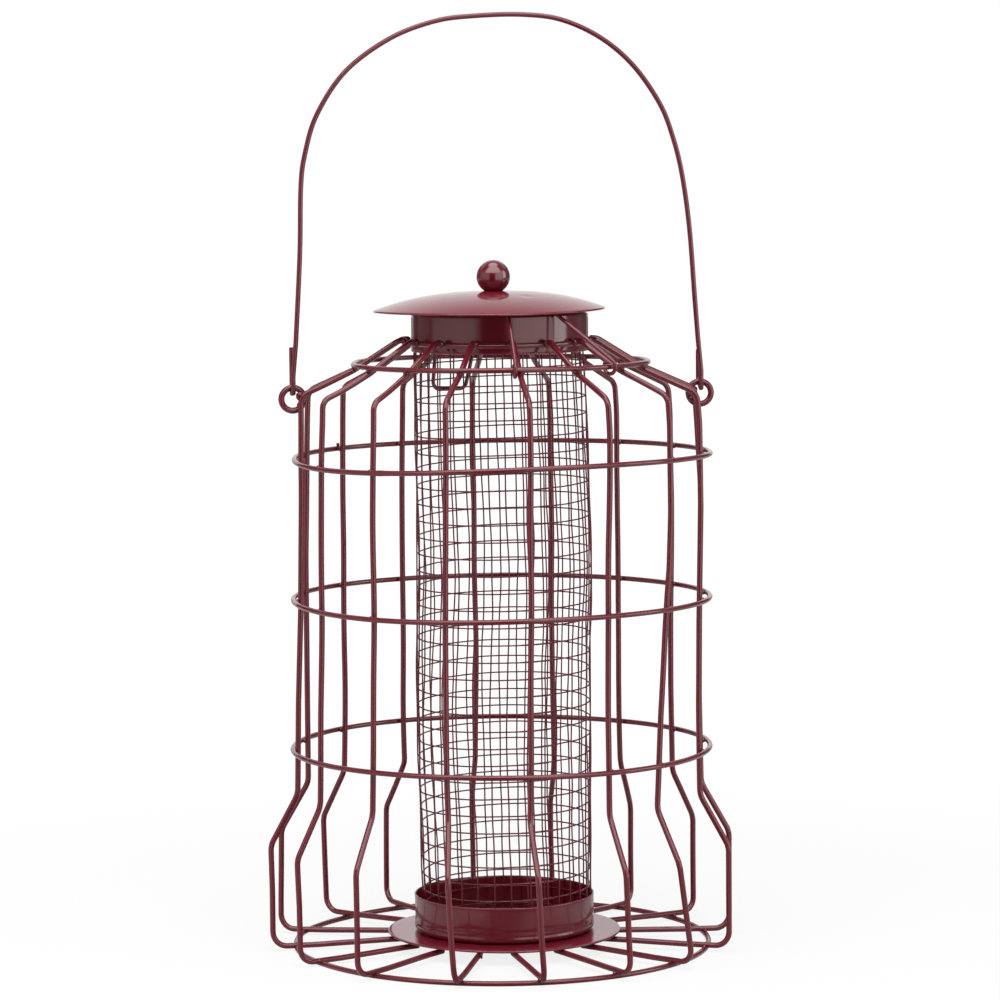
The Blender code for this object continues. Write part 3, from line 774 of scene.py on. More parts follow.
@dataclass
class Workbench:
    """Turns shells into named, painted pieces that ride on the CAD bodies."""

    far_off: float = 3.0 * MM
    count: int = 0

    def __post_init__(self) -> None:
        """Mix the six paints."""
        shop = PaintShop()
        finishes = (
            RedPaint(Slot.CAGE_WIRE),
            RedPaint(Slot.FITTINGS_WIRE, gloss=0.33),
            RedPaint(
                Slot.MESH_WIRE, full=(0.115, 0.0085, 0.016), gloss=0.38, coat=0.35, peel_scale=1500.0,
                film_scale=140.0,
            ),
            # The sheets' mark is a lighter red, which the rim mask lays along their rims.
            RedPaint(
                Slot.SHEET_METAL, gloss=0.32, coat=0.75, film_scale=30.0, waviness=0.35, mask=RIM_MASK,
                mark=(0.20, 0.04, 0.045), mark_strength=0.35,
            ),
            # The lid and the plate face the lamp above, so they get a lighter red than the collar and the
            # cup: painted light from above. Their rims' mark is lighter still.
            RedPaint(
                Slot.SHEET_TOP, full=(0.200, 0.0100, 0.028), thin=(0.200, 0.014, 0.032), gloss=0.28,
                sheen_level=0.05, coat=0.75, coat_gloss=0.03, film_scale=22.0, film_amount=0.3,
                waviness=0.08, mask=RIM_MASK, mark=(0.26, 0.06, 0.065), mark_strength=0.35, dust=0.01,
            ),
            RedPaint(
                Slot.KNOB, gloss=0.28, coat=1.0, coat_gloss=0.04, film_scale=45.0, film_amount=0.2,
                waviness=0.08, mask=RIM_MASK, dust=0.0,
            ),
        )
        self.paints = {finish.slot: finish.mixed_up(shop) for finish in finishes}

    def add(self, name: str, shell: Shell, slot: Slot, body: Body, *nodes: str) -> bpy.types.Object:
        """Make a piece from a shell, paint it, and set it on its body.

        Args:
            name: The piece's name.
            shell: The piece's surface.
            slot: The record's slot that it is painted from.
            body: The CAD body that it rides on.
            *nodes: The CAD nodes that it stands for.

        Returns:
            The piece.
        """
        for mask in (WELD_MASK, RIM_MASK):
            if mask not in shell.masks:
                shell.mask(mask, np.zeros(len(shell.points)))
        piece = shell.as_object(name)
        bpy.context.scene.collection.objects.link(piece)
        piece.data.materials.append(self.paints[slot])
        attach(piece, body.value)
        if nodes:
            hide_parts(*nodes)
            self.compare(piece, nodes)
        self.count += 1
        triangles = 2 * len(shell.quads) + len(shell.triangles)
        LOG.info("%s on %s: %d triangles, %s", name, body.value, triangles, slot.value)
        return piece

    def compare(self, piece: bpy.types.Object, nodes: tuple[str, ...]) -> None:
        """Warn where a piece's box is far off its nodes' box.

        Args:
            piece: The piece.
            nodes: The names of the CAD nodes that it stands for.
        """
        corners = [np.array(corner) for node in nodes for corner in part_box(node)]
        points = np.array(piece.bound_box)
        off = max(
            np.abs(points.min(0) - np.min(corners, axis=0)).max(),
            np.abs(points.max(0) - np.max(corners, axis=0)).max(),
        )
        if off > self.far_off:
            LOG.warning("%s is %.1f mm off its node's box", piece.name, off / MM)


# The feeder


@dataclass
class Assembly:
    """A sub-assembly: its sizes, and the workbench that paints and places its pieces."""

    bench: Workbench


@dataclass
class Cage(Assembly):
    """Sixteen bent uprights, six hoops, and the welds between them."""

    count: int = 16
    wire: float = 2.2 * MM
    hoop_wire: float = 2.0 * MM
    wire_sides: int = 14
    seat_gap: float = 0.3 * MM
    # The corners of an upright as (radius, height), from the neck down, and the bends at them
    neck_end: Pair = (36.2 * MM, 233.5 * MM)
    slope_start: float = 38.2 * MM
    seat: Pair = (55.7 * MM, 222.5 * MM)
    shoulder: Pair = (76.0 * MM, 213.4 * MM)
    flare: Pair = (77.9 * MM, 60.5 * MM)
    bulge: Pair = (88.9 * MM, 41.0 * MM)
    spoke_height: float = 3.132 * MM
    spoke_rise: float = 0.5 * MM
    rise_start: float = 71.3 * MM
    plate_edge: float = 44.8 * MM
    spoke_end: float = 38.0 * MM
    bends: Numbers = (0.0, 5.0 * MM, 6.0 * MM, 4.8 * MM, 9.0 * MM, 8.0 * MM, 5.5 * MM, 0.0, 0.0, 0.0)
    step: float = 3.0 * MM
    wave_height: float = 0.28 * MM
    wave_length: float = 210.0 * MM
    wave_ease: float = 30.0 * MM
    wave_seed: int = 40
    # Each bent upright's sideways leans in mm, at five heights
    lean_heights: Numbers = (3.132 * MM, 41.0 * MM, 60.5 * MM, 150.0 * MM, 213.4 * MM)
    leans: dict[int, Numbers] = field(
        default_factory=lambda: {
            1: (1.5, 1.8, 0.0, 0.0, 0.0),
            2: (2.4, 2.6, -0.4, 0.0, 1.0),
            3: (2.8, 3.0, -1.2, -1.6, -0.2),
            5: (3.2, 2.9, -0.1, 0.3, 0.2),
            6: (0.0, 1.4, 1.3, 0.6, 0.7),
            7: (0.0, 0.0, 1.5, 3.8, 0.5),
            10: (0.0, 0.4, 0.0, 0.0, 0.0),
            11: (4.9, 2.6, 0.2, -0.6, 0.0),
            12: (3.2, 1.4, -0.3, 0.8, 1.3),
            13: (1.9, 0.4, 0.5, 0.5, 0.8),
            14: (-0.6, -8.9, -8.6, 1.6, 2.0),
        }
    )
    # How far the body stands over at each upright in mm, and less where the handle's eyes are
    stand_heights: Numbers = (95.0 * MM, 125.0 * MM, 170.0 * MM, 202.0 * MM, 230.0 * MM)
    stand_shares: Numbers = (0.0, 0.3, 1.0, 1.0, 0.0)
    stands: Numbers = (
        1.8, 1.6, 1.3, 0.4, -0.2, -0.2, -0.5, -0.2, 0.5, -0.3, -0.3, -0.1, 0.1, 1.1, 1.7, 2.0,
    )
    eye_hold_heights: Pair = (178.0 * MM, 206.0 * MM)
    eye_hold_shares: Pair = (1.0, 0.3)
    # How far each foot corner dips in mm, and the low part of the spoke that follows it
    dips: Numbers = (0.3, 0.2, 1.2, 0.0, 0.0, 0.2, 0.1, 1.2, 1.3, 1.2, 0.8, 0.2, 0.0, 0.0, 0.3, 0.5)
    dip_radii: Numbers = (22.0 * MM, 36.0 * MM, 80.0 * MM)
    dip_shares: Numbers = (0.0, 0.4, 1.0)
    spoke_top: float = 20.0 * MM
    spoke_fade: float = 15.0 * MM
    # How far each foot corner and some flares stand out in mm
    feet: Numbers = (
        0.0, 0.0, 0.0, 0.0, 0.0, 0.0, -0.3, 1.2, 0.2, -0.8, 0.0, 0.0, 0.0, 0.0, 0.0, 0.0,
    )
    foot_heights: Numbers = (14.0 * MM, 41.0 * MM, 60.5 * MM)
    foot_shares: Numbers = (1.0, 0.6, 0.0)
    flares: dict[int, float] = field(default_factory=lambda: {8: 1.0, 9: 1.2, 10: 0.5})
    flare_heights: Numbers = (24.0 * MM, 41.0 * MM, 60.5 * MM, 95.0 * MM, 130.0 * MM)
    flare_shares: Numbers = (0.0, 0.4, 1.0, 0.7, 0.0)
    # How far two spokes are turned at their inner ends in mm
    spoke_turns: dict[int, float] = field(default_factory=lambda: {11: -1.8, 12: -4.8})
    # How far some shoulders have sunk in mm, and how far that reaches
    shoulder_drops: dict[int, float] = field(
        default_factory=lambda: {8: 0.4, 9: 0.9, 10: 0.7, 13: -0.3, 14: -0.3}
    )
    drop_radius: float = 69.0 * MM
    drop_width: float = 13.0 * MM
    drop_bottom: float = 190.0 * MM
    drop_fade: float = 15.0 * MM
    drop_inward: float = 0.7
    # The hoops, and their sags and bends as (hoop, angle, width, depth)
    hoops: tuple[str, ...] = (
        "foot_hoop", "body_hoop_lower", "body_hoop_middle", "body_hoop_upper", "top_hoop", "neck_ring",
    )
    sags: tuple[HoopBell, ...] = (
        ("body_hoop_upper", 218.0 * DEG, 0.75, 1.9 * MM), ("body_hoop_upper", 160.0 * DEG, 0.75, 0.8 * MM),
        ("body_hoop_upper", 310.0 * DEG, 0.75, -0.6 * MM),
        ("body_hoop_middle", 228.0 * DEG, 0.75, 1.1 * MM), ("top_hoop", 235.0 * DEG, 0.75, 0.5 * MM),
    )
    hoop_bends: tuple[HoopBell, ...] = (
        ("foot_hoop", 195.0 * DEG, 0.30, 1.0 * MM), ("top_hoop", 172.0 * DEG, 0.50, -1.3 * MM),
    )
    hoop_wave: float = 0.10 * MM
    hoop_steps: int = 192
    butt_angles: Pair = (1.9, 0.7)
    butt_swell: float = 0.16
    butt_width: float = 1.6 * MM
    # The weld beads' sizes and places, and the cut ends that stand up beside two butt welds
    bead: float = 1.25 * MM
    bead_shares: Triple = (0.8, 1.0, 0.95)
    neck_bead_share: float = 1.35
    neck_weld_rise: float = 0.6 * MM
    top_weld_inset: float = 0.45 * MM
    top_weld_share: float = 0.42
    weld_reach: float = 2.4 * MM
    bead_heat: float = 0.8
    spurs: tuple[tuple[str, float, float], ...] = (
        ("body_hoop_upper", 136.2 * DEG, 0.7 * MM), ("foot_hoop", -19.8 * DEG, 1.3 * MM),
    )
    spur_sizes: Pair = (0.6 * MM, 0.7 * MM)
    spur_seed: int = 900

    def hoop_line(self, name: str) -> Pair:
        """Return a hoop's radius and height, read from its CAD node."""
        low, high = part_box(name)
        height = low.z + 0.5 * self.hoop_wire if name == "foot_hoop" else 0.5 * (low.z + high.z)
        return high.x - 0.5 * self.hoop_wire, height

    @staticmethod
    def bells(rows: tuple[HoopBell, ...], name: str, angle: np.ndarray) -> np.ndarray:
        """Sum a hoop's bell curves: depth * exp(-(angle from the middle / width) squared).

        Args:
            rows: The hoop, the middle angle, the width and the depth of each curve.
            name: The hoop.
            angle: The angles about Z.

        Returns:
            The sum at each angle.
        """
        total = np.zeros_like(angle)
        for hoop, middle, width, depth in rows:
            total += depth * bell(angle_from(middle, angle), width) * (hoop == name)
        return total

    def lean(self, index: int, radius: np.ndarray, height: np.ndarray) -> np.ndarray:
        """Return an upright's sideways lean: linear between the lean heights, times r / bulge."""
        leans = np.array(self.leans.get(index, (0.0,) * len(self.lean_heights))) * MM
        return np.interp(height, self.lean_heights, leans) * radius / self.bulge[0]

    def stand(self, angle: np.ndarray, height: np.ndarray) -> np.ndarray:
        """Return how far the hand-bent body stands over toward +X at an angle and a height.

        Each upright has its own stand. Between two uprights the stands are shared by raised cosines
        of the angle from each, and over the height by straight stretches.

        Args:
            angle: The angle about Z.
            height: The height.

        Returns:
            The shift toward +X.
        """
        step = FULL_TURN / self.count
        away = angle_from(step * np.arange(self.count), angle[:, None])
        share = np.where(np.abs(away) < step, 0.5 + 0.5 * np.cos(math.pi * away / step), 0.0)
        over = np.interp(height, self.stand_heights, self.stand_shares)
        return share @ (np.array(self.stands) * MM) * over

    def straight_line(self) -> np.ndarray:
        """Return the centre line that all the uprights are bent to, before a hand moves them."""
        flat, raised = self.spoke_height, self.spoke_height + self.spoke_rise
        corners = (
            self.neck_end, (self.slope_start, self.neck_end[1]), self.seat, self.shoulder, self.flare,
            self.bulge, (self.bulge[0], flat), (self.rise_start, flat), (self.plate_edge, raised),
            (self.spoke_end, raised),
        )
        path = [(radius, 0.0, height) for radius, height in corners]
        return refined(bent_path(path, list(self.bends)), self.step)

    def upright_line(self, index: int) -> np.ndarray:
        """Return an upright's centre line, before its turn, as a hand has bent it.

        The straight line is moved sideways by its lean and a wave, over by the body's stand, down
        and in about the shoulder, out at the flare and the foot, and down and round at the spoke.

        Args:
            index: The upright's number.

        Returns:
            The points of the line.
        """
        line = self.straight_line()
        along = path_length(line)
        ease = np.clip(np.minimum(along, along[-1] - along) / self.wave_ease, 0.0, 1.0)
        wave = HandWave(self.wave_height, self.wave_length, self.wave_seed + index).at(along) * ease
        line[:, 1] = self.lean(index, line[:, 0], line[:, 2]) + wave
        turn = FULL_TURN * index / self.count
        side = self.stand(np.full(len(line), turn), line[:, 2])
        if index in (0, self.count // 2):
            side *= np.interp(line[:, 2], self.eye_hold_heights, self.eye_hold_shares)
        line[:, 0] += side * math.cos(turn)
        line[:, 1] -= side * math.sin(turn)
        drop = self.shoulder_drops.get(index, 0.0) * MM
        drop = drop * bell(line[:, 0] - self.drop_radius, self.drop_width)
        drop *= np.clip((line[:, 2] - self.drop_bottom) / self.drop_fade, 0.0, 1.0)
        line[:, 0] -= self.drop_inward * drop
        line[:, 2] -= drop
        along_spoke = np.interp(line[:, 0], self.dip_radii, self.dip_shares)
        low = np.clip((self.spoke_top - line[:, 2]) / self.spoke_fade, 0.0, 1.0)
        out = np.interp(line[:, 2], self.foot_heights, self.foot_shares) * along_spoke
        flare = np.interp(line[:, 2], self.flare_heights, self.flare_shares)
        line[:, 0] += (self.feet[index] * out + self.flares.get(index, 0.0) * flare) * MM
        line[:, 1] += self.spoke_turns.get(index, 0.0) * MM * low * (1.0 - along_spoke)
        line[:, 2] -= self.dips[index] * MM * along_spoke * low
        return line

    def weld_line(self, name: str) -> Pair:
        """Return the radius and height at which a hoop is welded to the uprights.

        Args:
            name: The hoop.

        Returns:
            The radius and the height, before the hoop's bends and sags.
        """
        radius, height = self.hoop_line(name)
        seat = self.hoop_wire + self.seat_gap
        lines = {
            "foot_hoop": (radius, self.spoke_height - 0.5 * (self.wire + self.seat_gap)),
            "neck_ring": (radius + 0.5 * seat, height + self.neck_weld_rise),
            "top_hoop": (radius - self.top_weld_inset, height - self.top_weld_share * seat),
        }
        return lines.get(name, (radius - 0.5 * seat, height))

    def weld_places(self) -> dict[str, np.ndarray]:
        """Return the places where each hoop touches the uprights, hoop by hoop."""
        angles = FULL_TURN * np.arange(self.count) / self.count
        places = {}
        for name in self.hoops:
            radius, up = self.weld_line(name)
            out = radius + self.bells(self.hoop_bends, name, angles)
            drop = self.bells(self.sags, name, angles)
            leans = [float(self.lean(index, out[index], np.array(up))) for index in range(self.count)]
            turn = angles + np.array(leans) / out
            stand = self.stand(angles, np.full(self.count, self.hoop_line(name)[1]))
            places[name] = side_by_side(out * np.cos(turn) + stand, out * np.sin(turn), up - drop)
        return places

    def build(self) -> None:
        """Add the uprights, the hoops, the weld beads and the spurs."""
        welds = self.weld_places()
        centres = np.vstack(list(welds.values()))
        for index in range(self.count):
            shell = swept_wire(self.upright_line(index), 0.5 * self.wire, sides=self.wire_sides)
            shell.turned(FULL_TURN * index / self.count)
            shell.mask(WELD_MASK, nearness(shell.points, centres, self.weld_reach))
            name = f"upright_{index:02d}"
            self.bench.add(f"cage_{name}", shell, Slot.CAGE_WIRE, Body.CAGE, name)
        for number, name in enumerate(self.hoops):
            shell = self.hoop_shell(name, number)
            shell.mask(WELD_MASK, nearness(shell.points, welds[name], self.weld_reach))
            self.bench.add(f"cage_{name}", shell, Slot.CAGE_WIRE, Body.CAGE, name)
        self.bench.add("cage_welds", self.bead_shell(welds), Slot.CAGE_WIRE, Body.CAGE)

    def hoop_shell(self, name: str, number: int) -> Shell:
        """Return a hoop: a circle with a slight wave and sag, swollen at its butt weld.

        Only the foot hoop has no wave and no swelling, and it follows the feet of the uprights.

        Args:
            name: The hoop.
            number: Its number, which sets its wave and where its butt weld is.

        Returns:
            The hoop's surface.
        """
        radius, height = self.hoop_line(name)
        angle = round_angles(self.hoop_steps)
        uneven = name != "foot_hoop"
        wave = self.hoop_wave * uneven
        rise = wave * np.sin(3.0 * angle + 2.0 * number) - self.bells(self.sags, name, angle)
        stand = self.stand(angle, np.full_like(angle, height))
        out = radius + wave * np.sin(2.0 * angle + number) + self.bells(self.hoop_bends, name, angle)
        if not uneven:
            steps = FULL_TURN * np.arange(self.count + 1) / self.count
            out = out + np.interp(angle, steps, (*self.feet, self.feet[0])) * MM
        line = side_by_side(out * np.cos(angle) + stand, out * np.sin(angle), height + rise)
        butt = (self.butt_angles[0] + self.butt_angles[1] * number) % FULL_TURN
        swell = 1.0 + self.butt_swell * uneven * bell(angle_from(butt, angle) * radius, self.butt_width)
        return swept_wire(line, 0.5 * self.hoop_wire * swell, sides=self.wire_sides, closed=True)

    def bead_shell(self, welds: dict[str, np.ndarray]) -> Shell:
        """Return all the weld beads, fatter where the neck ring is met, and the spurs.

        Args:
            welds: The places of the welds, hoop by hoop.

        Returns:
            The beads and spurs as one surface.
        """
        beads = []
        for number, (name, places) in enumerate(welds.items()):
            fat = self.neck_bead_share if name == "neck_ring" else 1.0
            sizes = tuple(share * self.bead * fat for share in self.bead_shares)
            for index, place in enumerate(places):
                axes = spoke_frame(math.atan2(place[1], place[0]))
                beads.append(lump(place, axes, sizes, 100 * number + index))
        for name, angle, rise in self.spurs:
            radius, height = self.hoop_line(name)
            place = ring_place(radius, angle, height + 0.5 * self.hoop_wire)
            beads.append(lump(place, spoke_frame(angle), (*self.spur_sizes, rise), self.spur_seed))
        shell = Shell.joined(beads)
        return shell.mask(WELD_MASK, np.full(len(shell.points), self.bead_heat))


@dataclass
class Neck(Assembly):
    """The sheet collar, its lap seam and its rivet."""

    wall: float = 0.6 * MM
    shift: Triple = (0.45 * MM, 0.0, 0.0)
    rim_share: float = 0.06
    rows: int = 14
    around: int = 256
    seam_angle: float = -62.4 * DEG
    seam_step: float = 0.60 * MM
    seam_width: float = 0.9 * DEG
    seam_fade: float = 100.0 * DEG
    weld_out: float = 0.1 * MM
    weld_rise: float = 4.4 * MM
    weld_sizes: Triple = (0.5 * MM, 0.9 * MM, 0.8 * MM)
    rivet_angle: float = -132.4 * DEG
    rivet_rise: float = 1.3 * MM
    rivet_sizes: Triple = (0.45 * MM, 0.85 * MM, 0.85 * MM)
    bump_seed: int = 5

    def build(self) -> None:
        """Add the collar with the rivet and the seam's weld."""
        low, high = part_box("collar")
        heights = np.linspace(low.z + 0.5 * self.wall, high.z - 0.5 * self.wall, self.rows)
        shell = spun_sheet(sheet_profile(side_by_side(high.x, heights), self.wall), self.around)
        shell.points = self.lapped(shell.points)
        share = (shell.points[:, 2] - low.z) / (high.z - low.z)
        # The rim mask draws the paint lighter at the collar's top and bottom edges.
        shell.mask(RIM_MASK, np.exp(-np.minimum(share, 1.0 - share) / self.rim_share))
        self.bench.add("neck_collar", shell.moved(self.shift), Slot.SHEET_METAL, Body.CAGE, "collar")
        bumps = (
            (high.x + self.weld_out, self.seam_angle, self.weld_rise, self.weld_sizes),
            (high.x, self.rivet_angle, self.rivet_rise, self.rivet_sizes),
        )
        marks = Shell.joined([
            lump(ring_place(radius, angle, low.z + rise), spoke_frame(angle), sizes, seed)
            for seed, (radius, angle, rise, sizes) in enumerate(bumps, self.bump_seed)
        ])
        # The rivet and the seam's weld carry the weld mask at full, so both are painted dark all over.
        marks.mask(WELD_MASK, np.ones(len(marks.points)))
        self.bench.add("collar_rivet", marks.moved(self.shift), Slot.CAGE_WIRE, Body.CAGE)

    def lapped(self, points: np.ndarray) -> np.ndarray:
        """Step the sheet out at its lap seam: a jump that fades out over a quarter of a turn.

        Args:
            points: The collar's points.

        Returns:
            The points, moved outward by step * smooth jump * exp(-(arc past the seam) / fade).
        """
        angle = np.arctan2(points[:, 1], points[:, 0])
        past = (angle - self.seam_angle) % FULL_TURN
        before = FULL_TURN - past
        climb = np.clip(1.0 - before / self.seam_width, 0.0, 1.0)
        jump = climb + np.exp(-past / self.seam_fade) * (before > self.seam_width)
        out = 1.0 + self.seam_step * np.clip(jump, 0.0, 1.0) / np.hypot(points[:, 0], points[:, 1])
        return points * side_by_side(out, out, 1.0)


@dataclass
class SeedTube(Assembly):
    """The rolled tube of welded mesh: upright wires outside, ring wires inside, and a lap seam."""

    wire: float = 0.58 * MM
    wire_sides: int = 6
    weave_share: float = 0.36
    radius: float = 32.0 * MM
    uprights: int = 32
    lapped: int = 2
    lap_offset: float = 0.18
    jitter: float = 0.035
    rings: int = 36
    ring_steps: int = 176
    first_ring: float = 0.33
    ring_ends: Pair = (-0.3, 1.7)
    end_spread: Pair = (-0.25, 0.35)
    seeds: tuple[int, int] = (11, 12)
    tilt: float = 0.9 * MM
    tilt_angle: float = 25.0 * DEG
    seam_angle: float = -84.0 * DEG
    lap_step: float = 0.85 * MM
    lap_share: float = 0.8
    swell: float = 1.25 * MM
    calm_share: float = 0.10
    # The waves along the turn, outward and upward, and how far each wanders round the tube
    drift: HandWave = HandWave(0.18 * MM, 90.0 * MM, 3)
    dent: HandWave = HandWave(0.26 * MM, 120.0 * MM, 4)
    lift: HandWave = HandWave(0.15 * MM, FULL_TURN, 5)
    wander: Triple = (31.0 * MM, 47.0 * MM, 2.2)
    # The bow toward +X as (share of the height, mm)
    bow: tuple[Pair, ...] = (
        (0.0, 2.1), (0.13, 1.5), (0.30, 0.8), (0.43, 0.95),
        (0.58, 1.9), (0.70, 1.3), (0.85, 0.5), (1.0, 0.0),
    )

    def surface(self, angle: np.ndarray, share: np.ndarray, depth: float) -> np.ndarray:
        """Return points on the hand-rolled tube.

        A cylinder's radius grows by the lap's step over the last cell of the turn, and swells with
        sin(pi s) at share s of the height. The rings tilt up toward the tilt's angle about Z. Seeded
        waves move the surface in, along and up, and all these fade out at both ends. The whole tube
        bows toward +X along a smooth curve through the bow's (share, mm) pairs.

        Args:
            angle: The angle past the seam, which may pass a full turn.
            share: The share of the height, from 0 to 1.
            depth: How far out from the mesh's middle surface.

        Returns:
            The points, one for each pair of angle and share.
        """
        low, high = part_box("mesh_tube")
        bottom = low.z + 0.5 * self.wire
        place = share * (high.z - 0.5 * self.wire - bottom)
        calm = np.clip(np.minimum(share, 1.0 - share) / self.calm_share, 0.0, 1.0)
        lap_turn = self.lap_share * FULL_TURN / self.uprights
        lap = np.clip((angle - FULL_TURN + lap_turn) / lap_turn, 0.0, 1.0) * self.lap_step
        drift = self.drift.at(place + self.wander[0] * np.sin(2.0 * angle))
        dent = self.dent.at(place + self.wander[1] * np.cos(3.0 * angle))
        lift = self.lift.at(angle + self.wander[2] * np.sin(9.0 * share))
        radius = self.radius + depth + lap + calm * (self.swell * np.sin(math.pi * share) + dent)
        turn = self.seam_angle + angle + calm * drift / self.radius
        bow = smooth_path(np.array(self.bow), 8)
        side = np.interp(share, bow[:, 0], bow[:, 1]) * MM
        up = bottom + place + calm * (lift + self.tilt * np.cos(turn - self.tilt_angle))
        return side_by_side(radius * np.cos(turn) + side, radius * np.sin(turn), up)

    def build(self) -> None:
        """Add the tube as one piece of crossing wires."""
        cell = FULL_TURN / self.uprights
        half = self.weave_share * self.wire
        count = self.uprights + self.lapped
        jitter = np.random.default_rng(self.seeds[0]).normal(0.0, self.jitter, count)
        shares = np.linspace(0.0, 1.0, 3 * self.rings)
        lines = []
        for index in range(count):
            angle = (index + self.lap_offset * (index >= self.uprights) + jitter[index]) * cell
            lines.append(self.surface(np.full_like(shares, angle), shares, half))
        start, end = self.ring_ends[0] * cell, FULL_TURN + self.ring_ends[1] * cell
        turns = np.linspace(start, end, self.ring_steps)
        spread = np.random.default_rng(self.seeds[1]).uniform(*self.end_spread, self.rings)
        for index in range(self.rings):
            share = (index + self.first_ring) / self.rings
            reach = turns * (1.0 + spread[index] * cell / turns[-1])
            lines.append(self.surface(reach, np.full_like(reach, share), -half))
        shell = Shell.joined([swept_wire(line, 0.5 * self.wire, sides=self.wire_sides) for line in lines])
        self.bench.add("welded_mesh_tube", shell, Slot.MESH_WIRE, Body.CAGE, "mesh_tube")


@dataclass
class Base(Assembly):
    """The round plate on the spokes and the pressed seed cup on it."""

    around: int = 192
    plate_shift: Triple = (0.4 * MM, 0.0, 0.0)
    plate_flex: Pair = (0.10 * MM, 0.06 * MM)
    flex_start: float = 0.75
    plate_rim_fade: float = 0.35 * MM
    drip_angle: float = -109.0 * DEG
    drip_place: Pair = (-0.6 * MM, -1.3 * MM)
    drip_sizes: Triple = (0.40 * MM, 0.40 * MM, 1.1 * MM)
    drip_seed: int = 21
    cup_shift: Triple = (0.5 * MM, 0.0, 0.0)
    cup_wall: float = 0.6 * MM
    bottom_round: float = 2.0 * MM
    inner_round: float = 0.4 * MM
    wall_inset: float = 0.2 * MM
    wall_ends: Pair = (0.4 * MM, 0.3 * MM)
    bead_depth: float = 0.03 * MM
    bead_height: float = 4.5 * MM
    bead_width: float = 0.75 * MM
    lip: float = 0.22 * MM
    lip_height: float = 0.6 * MM
    cup_dents: Pair = (0.16 * MM, 0.10 * MM)
    wall_share: float = 0.9
    cup_rim_fade: float = 0.45 * MM

    def build(self) -> None:
        """Add the plate and the cup."""
        self.bench.add("base_plate_round", self.plate_shell(), Slot.SHEET_TOP, Body.CAGE, "base_plate")
        self.bench.add("seed_cup_pressed", self.cup_shell(), Slot.SHEET_METAL, Body.CAGE, "seed_cup")

    def plate_shell(self) -> Shell:
        """Return the plate: a flat disc of sheet with a round edge, and one paint drip under it.

        Its outer part is bent up and down by two sine waves of the angle.
        """
        low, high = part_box("base_plate")
        half = 0.5 * (high.z - low.z)
        edge = high.x
        inner = np.linspace(0.0, edge - half, 28, endpoint=False)
        roll = arc_pairs((edge - half, low.z + half), half, -90.0 * DEG, 90.0 * DEG, 12)
        bottom, top = side_by_side(inner, low.z), side_by_side(inner[::-1], high.z)
        shell = spun_sheet(np.vstack((bottom, roll, top)), self.around)
        x, y, _ = shell.points.T
        out, angle = np.hypot(x, y), np.arctan2(y, x)
        flex = self.plate_flex[0] * np.sin(2.0 * angle + 0.6) + self.plate_flex[1] * np.sin(5.0 * angle)
        outer = np.clip(out / edge - self.flex_start, 0.0, 1.0) / (1.0 - self.flex_start)
        shell.points[:, 2] += flex * outer
        # The rim mask draws the paint lighter along the plate's edge.
        shell.mask(RIM_MASK, np.exp(-(edge - out) / self.plate_rim_fade))
        drop = ring_place(edge + self.drip_place[0], self.drip_angle, low.z + self.drip_place[1])
        drip = lump(drop, spoke_frame(self.drip_angle), self.drip_sizes, self.drip_seed)
        drip.mask(RIM_MASK, np.zeros(len(drip.points)))
        return Shell.joined([shell, drip]).moved(self.plate_shift)

    def cup_line(self, low: Vector, high: Vector) -> tuple[np.ndarray, int, int]:
        """Draw the cup's outside: a flat floor, a rounded corner, and a wall with a bead and a lip.

        Args:
            low: The lowest corner of the cup's box.
            high: Its highest corner.

        Returns:
            The (radius, height) pairs, and the first and last row of the rounded corner.
        """
        corner = (high.x - self.bottom_round, low.z + self.bottom_round)
        floor = np.linspace(0.0, corner[0], 16, endpoint=False)
        knee = arc_pairs(corner, self.bottom_round, -90.0 * DEG, 0.0, 8)
        rise = np.linspace(corner[1] + self.wall_ends[0], high.z - self.wall_ends[1], 36)
        bead = self.bead_depth * bell(rise - low.z - self.bead_height, self.bead_width)
        lip = self.lip * np.exp(-(high.z - rise) / self.lip_height)
        wall = side_by_side(high.x - bead + lip - self.wall_inset, rise)
        line = np.vstack((side_by_side(floor, low.z), knee, wall))
        return line, len(floor), len(floor) + len(knee)

    def cup_shell(self) -> Shell:
        """Return the cup: its outside line, a sharper corner inside, and a half-round brim.

        The wall is dented by two sine waves of the angle that grow with the height.
        """
        low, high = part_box("seed_cup")
        line, knee_start, knee_end = self.cup_line(low, high)
        inside, brim, _ = sheet_sides(line, self.cup_wall)
        inside[0] = (0.0, low.z + self.cup_wall)
        reach = self.cup_wall + self.inner_round
        corner = (high.x - self.wall_inset - reach, low.z + reach)
        inside[knee_start:knee_end] = arc_pairs(corner, self.inner_round, -90.0 * DEG, 0.0, 8)
        shell = spun_sheet(np.vstack((line, brim, inside[::-1])), self.around)
        x, y, z = shell.points.T
        angle, out = np.arctan2(y, x), np.hypot(x, y)
        lift = np.clip((z - low.z) / (high.z - low.z), 0.0, 1.0)
        dents = self.cup_dents[0] * np.sin(3.0 * angle + 0.8)
        dents += self.cup_dents[1] * np.sin(7.0 * angle + 5.0 * lift)
        press = 1.0 + dents * lift * (out > self.wall_share * high.x) / np.maximum(out, MM)
        shell.points = side_by_side(x * press, y * press, z)
        # The rim mask draws the paint lighter at the cup's brim.
        return shell.mask(RIM_MASK, np.exp(-(high.z - z) / self.cup_rim_fade)).moved(self.cup_shift)


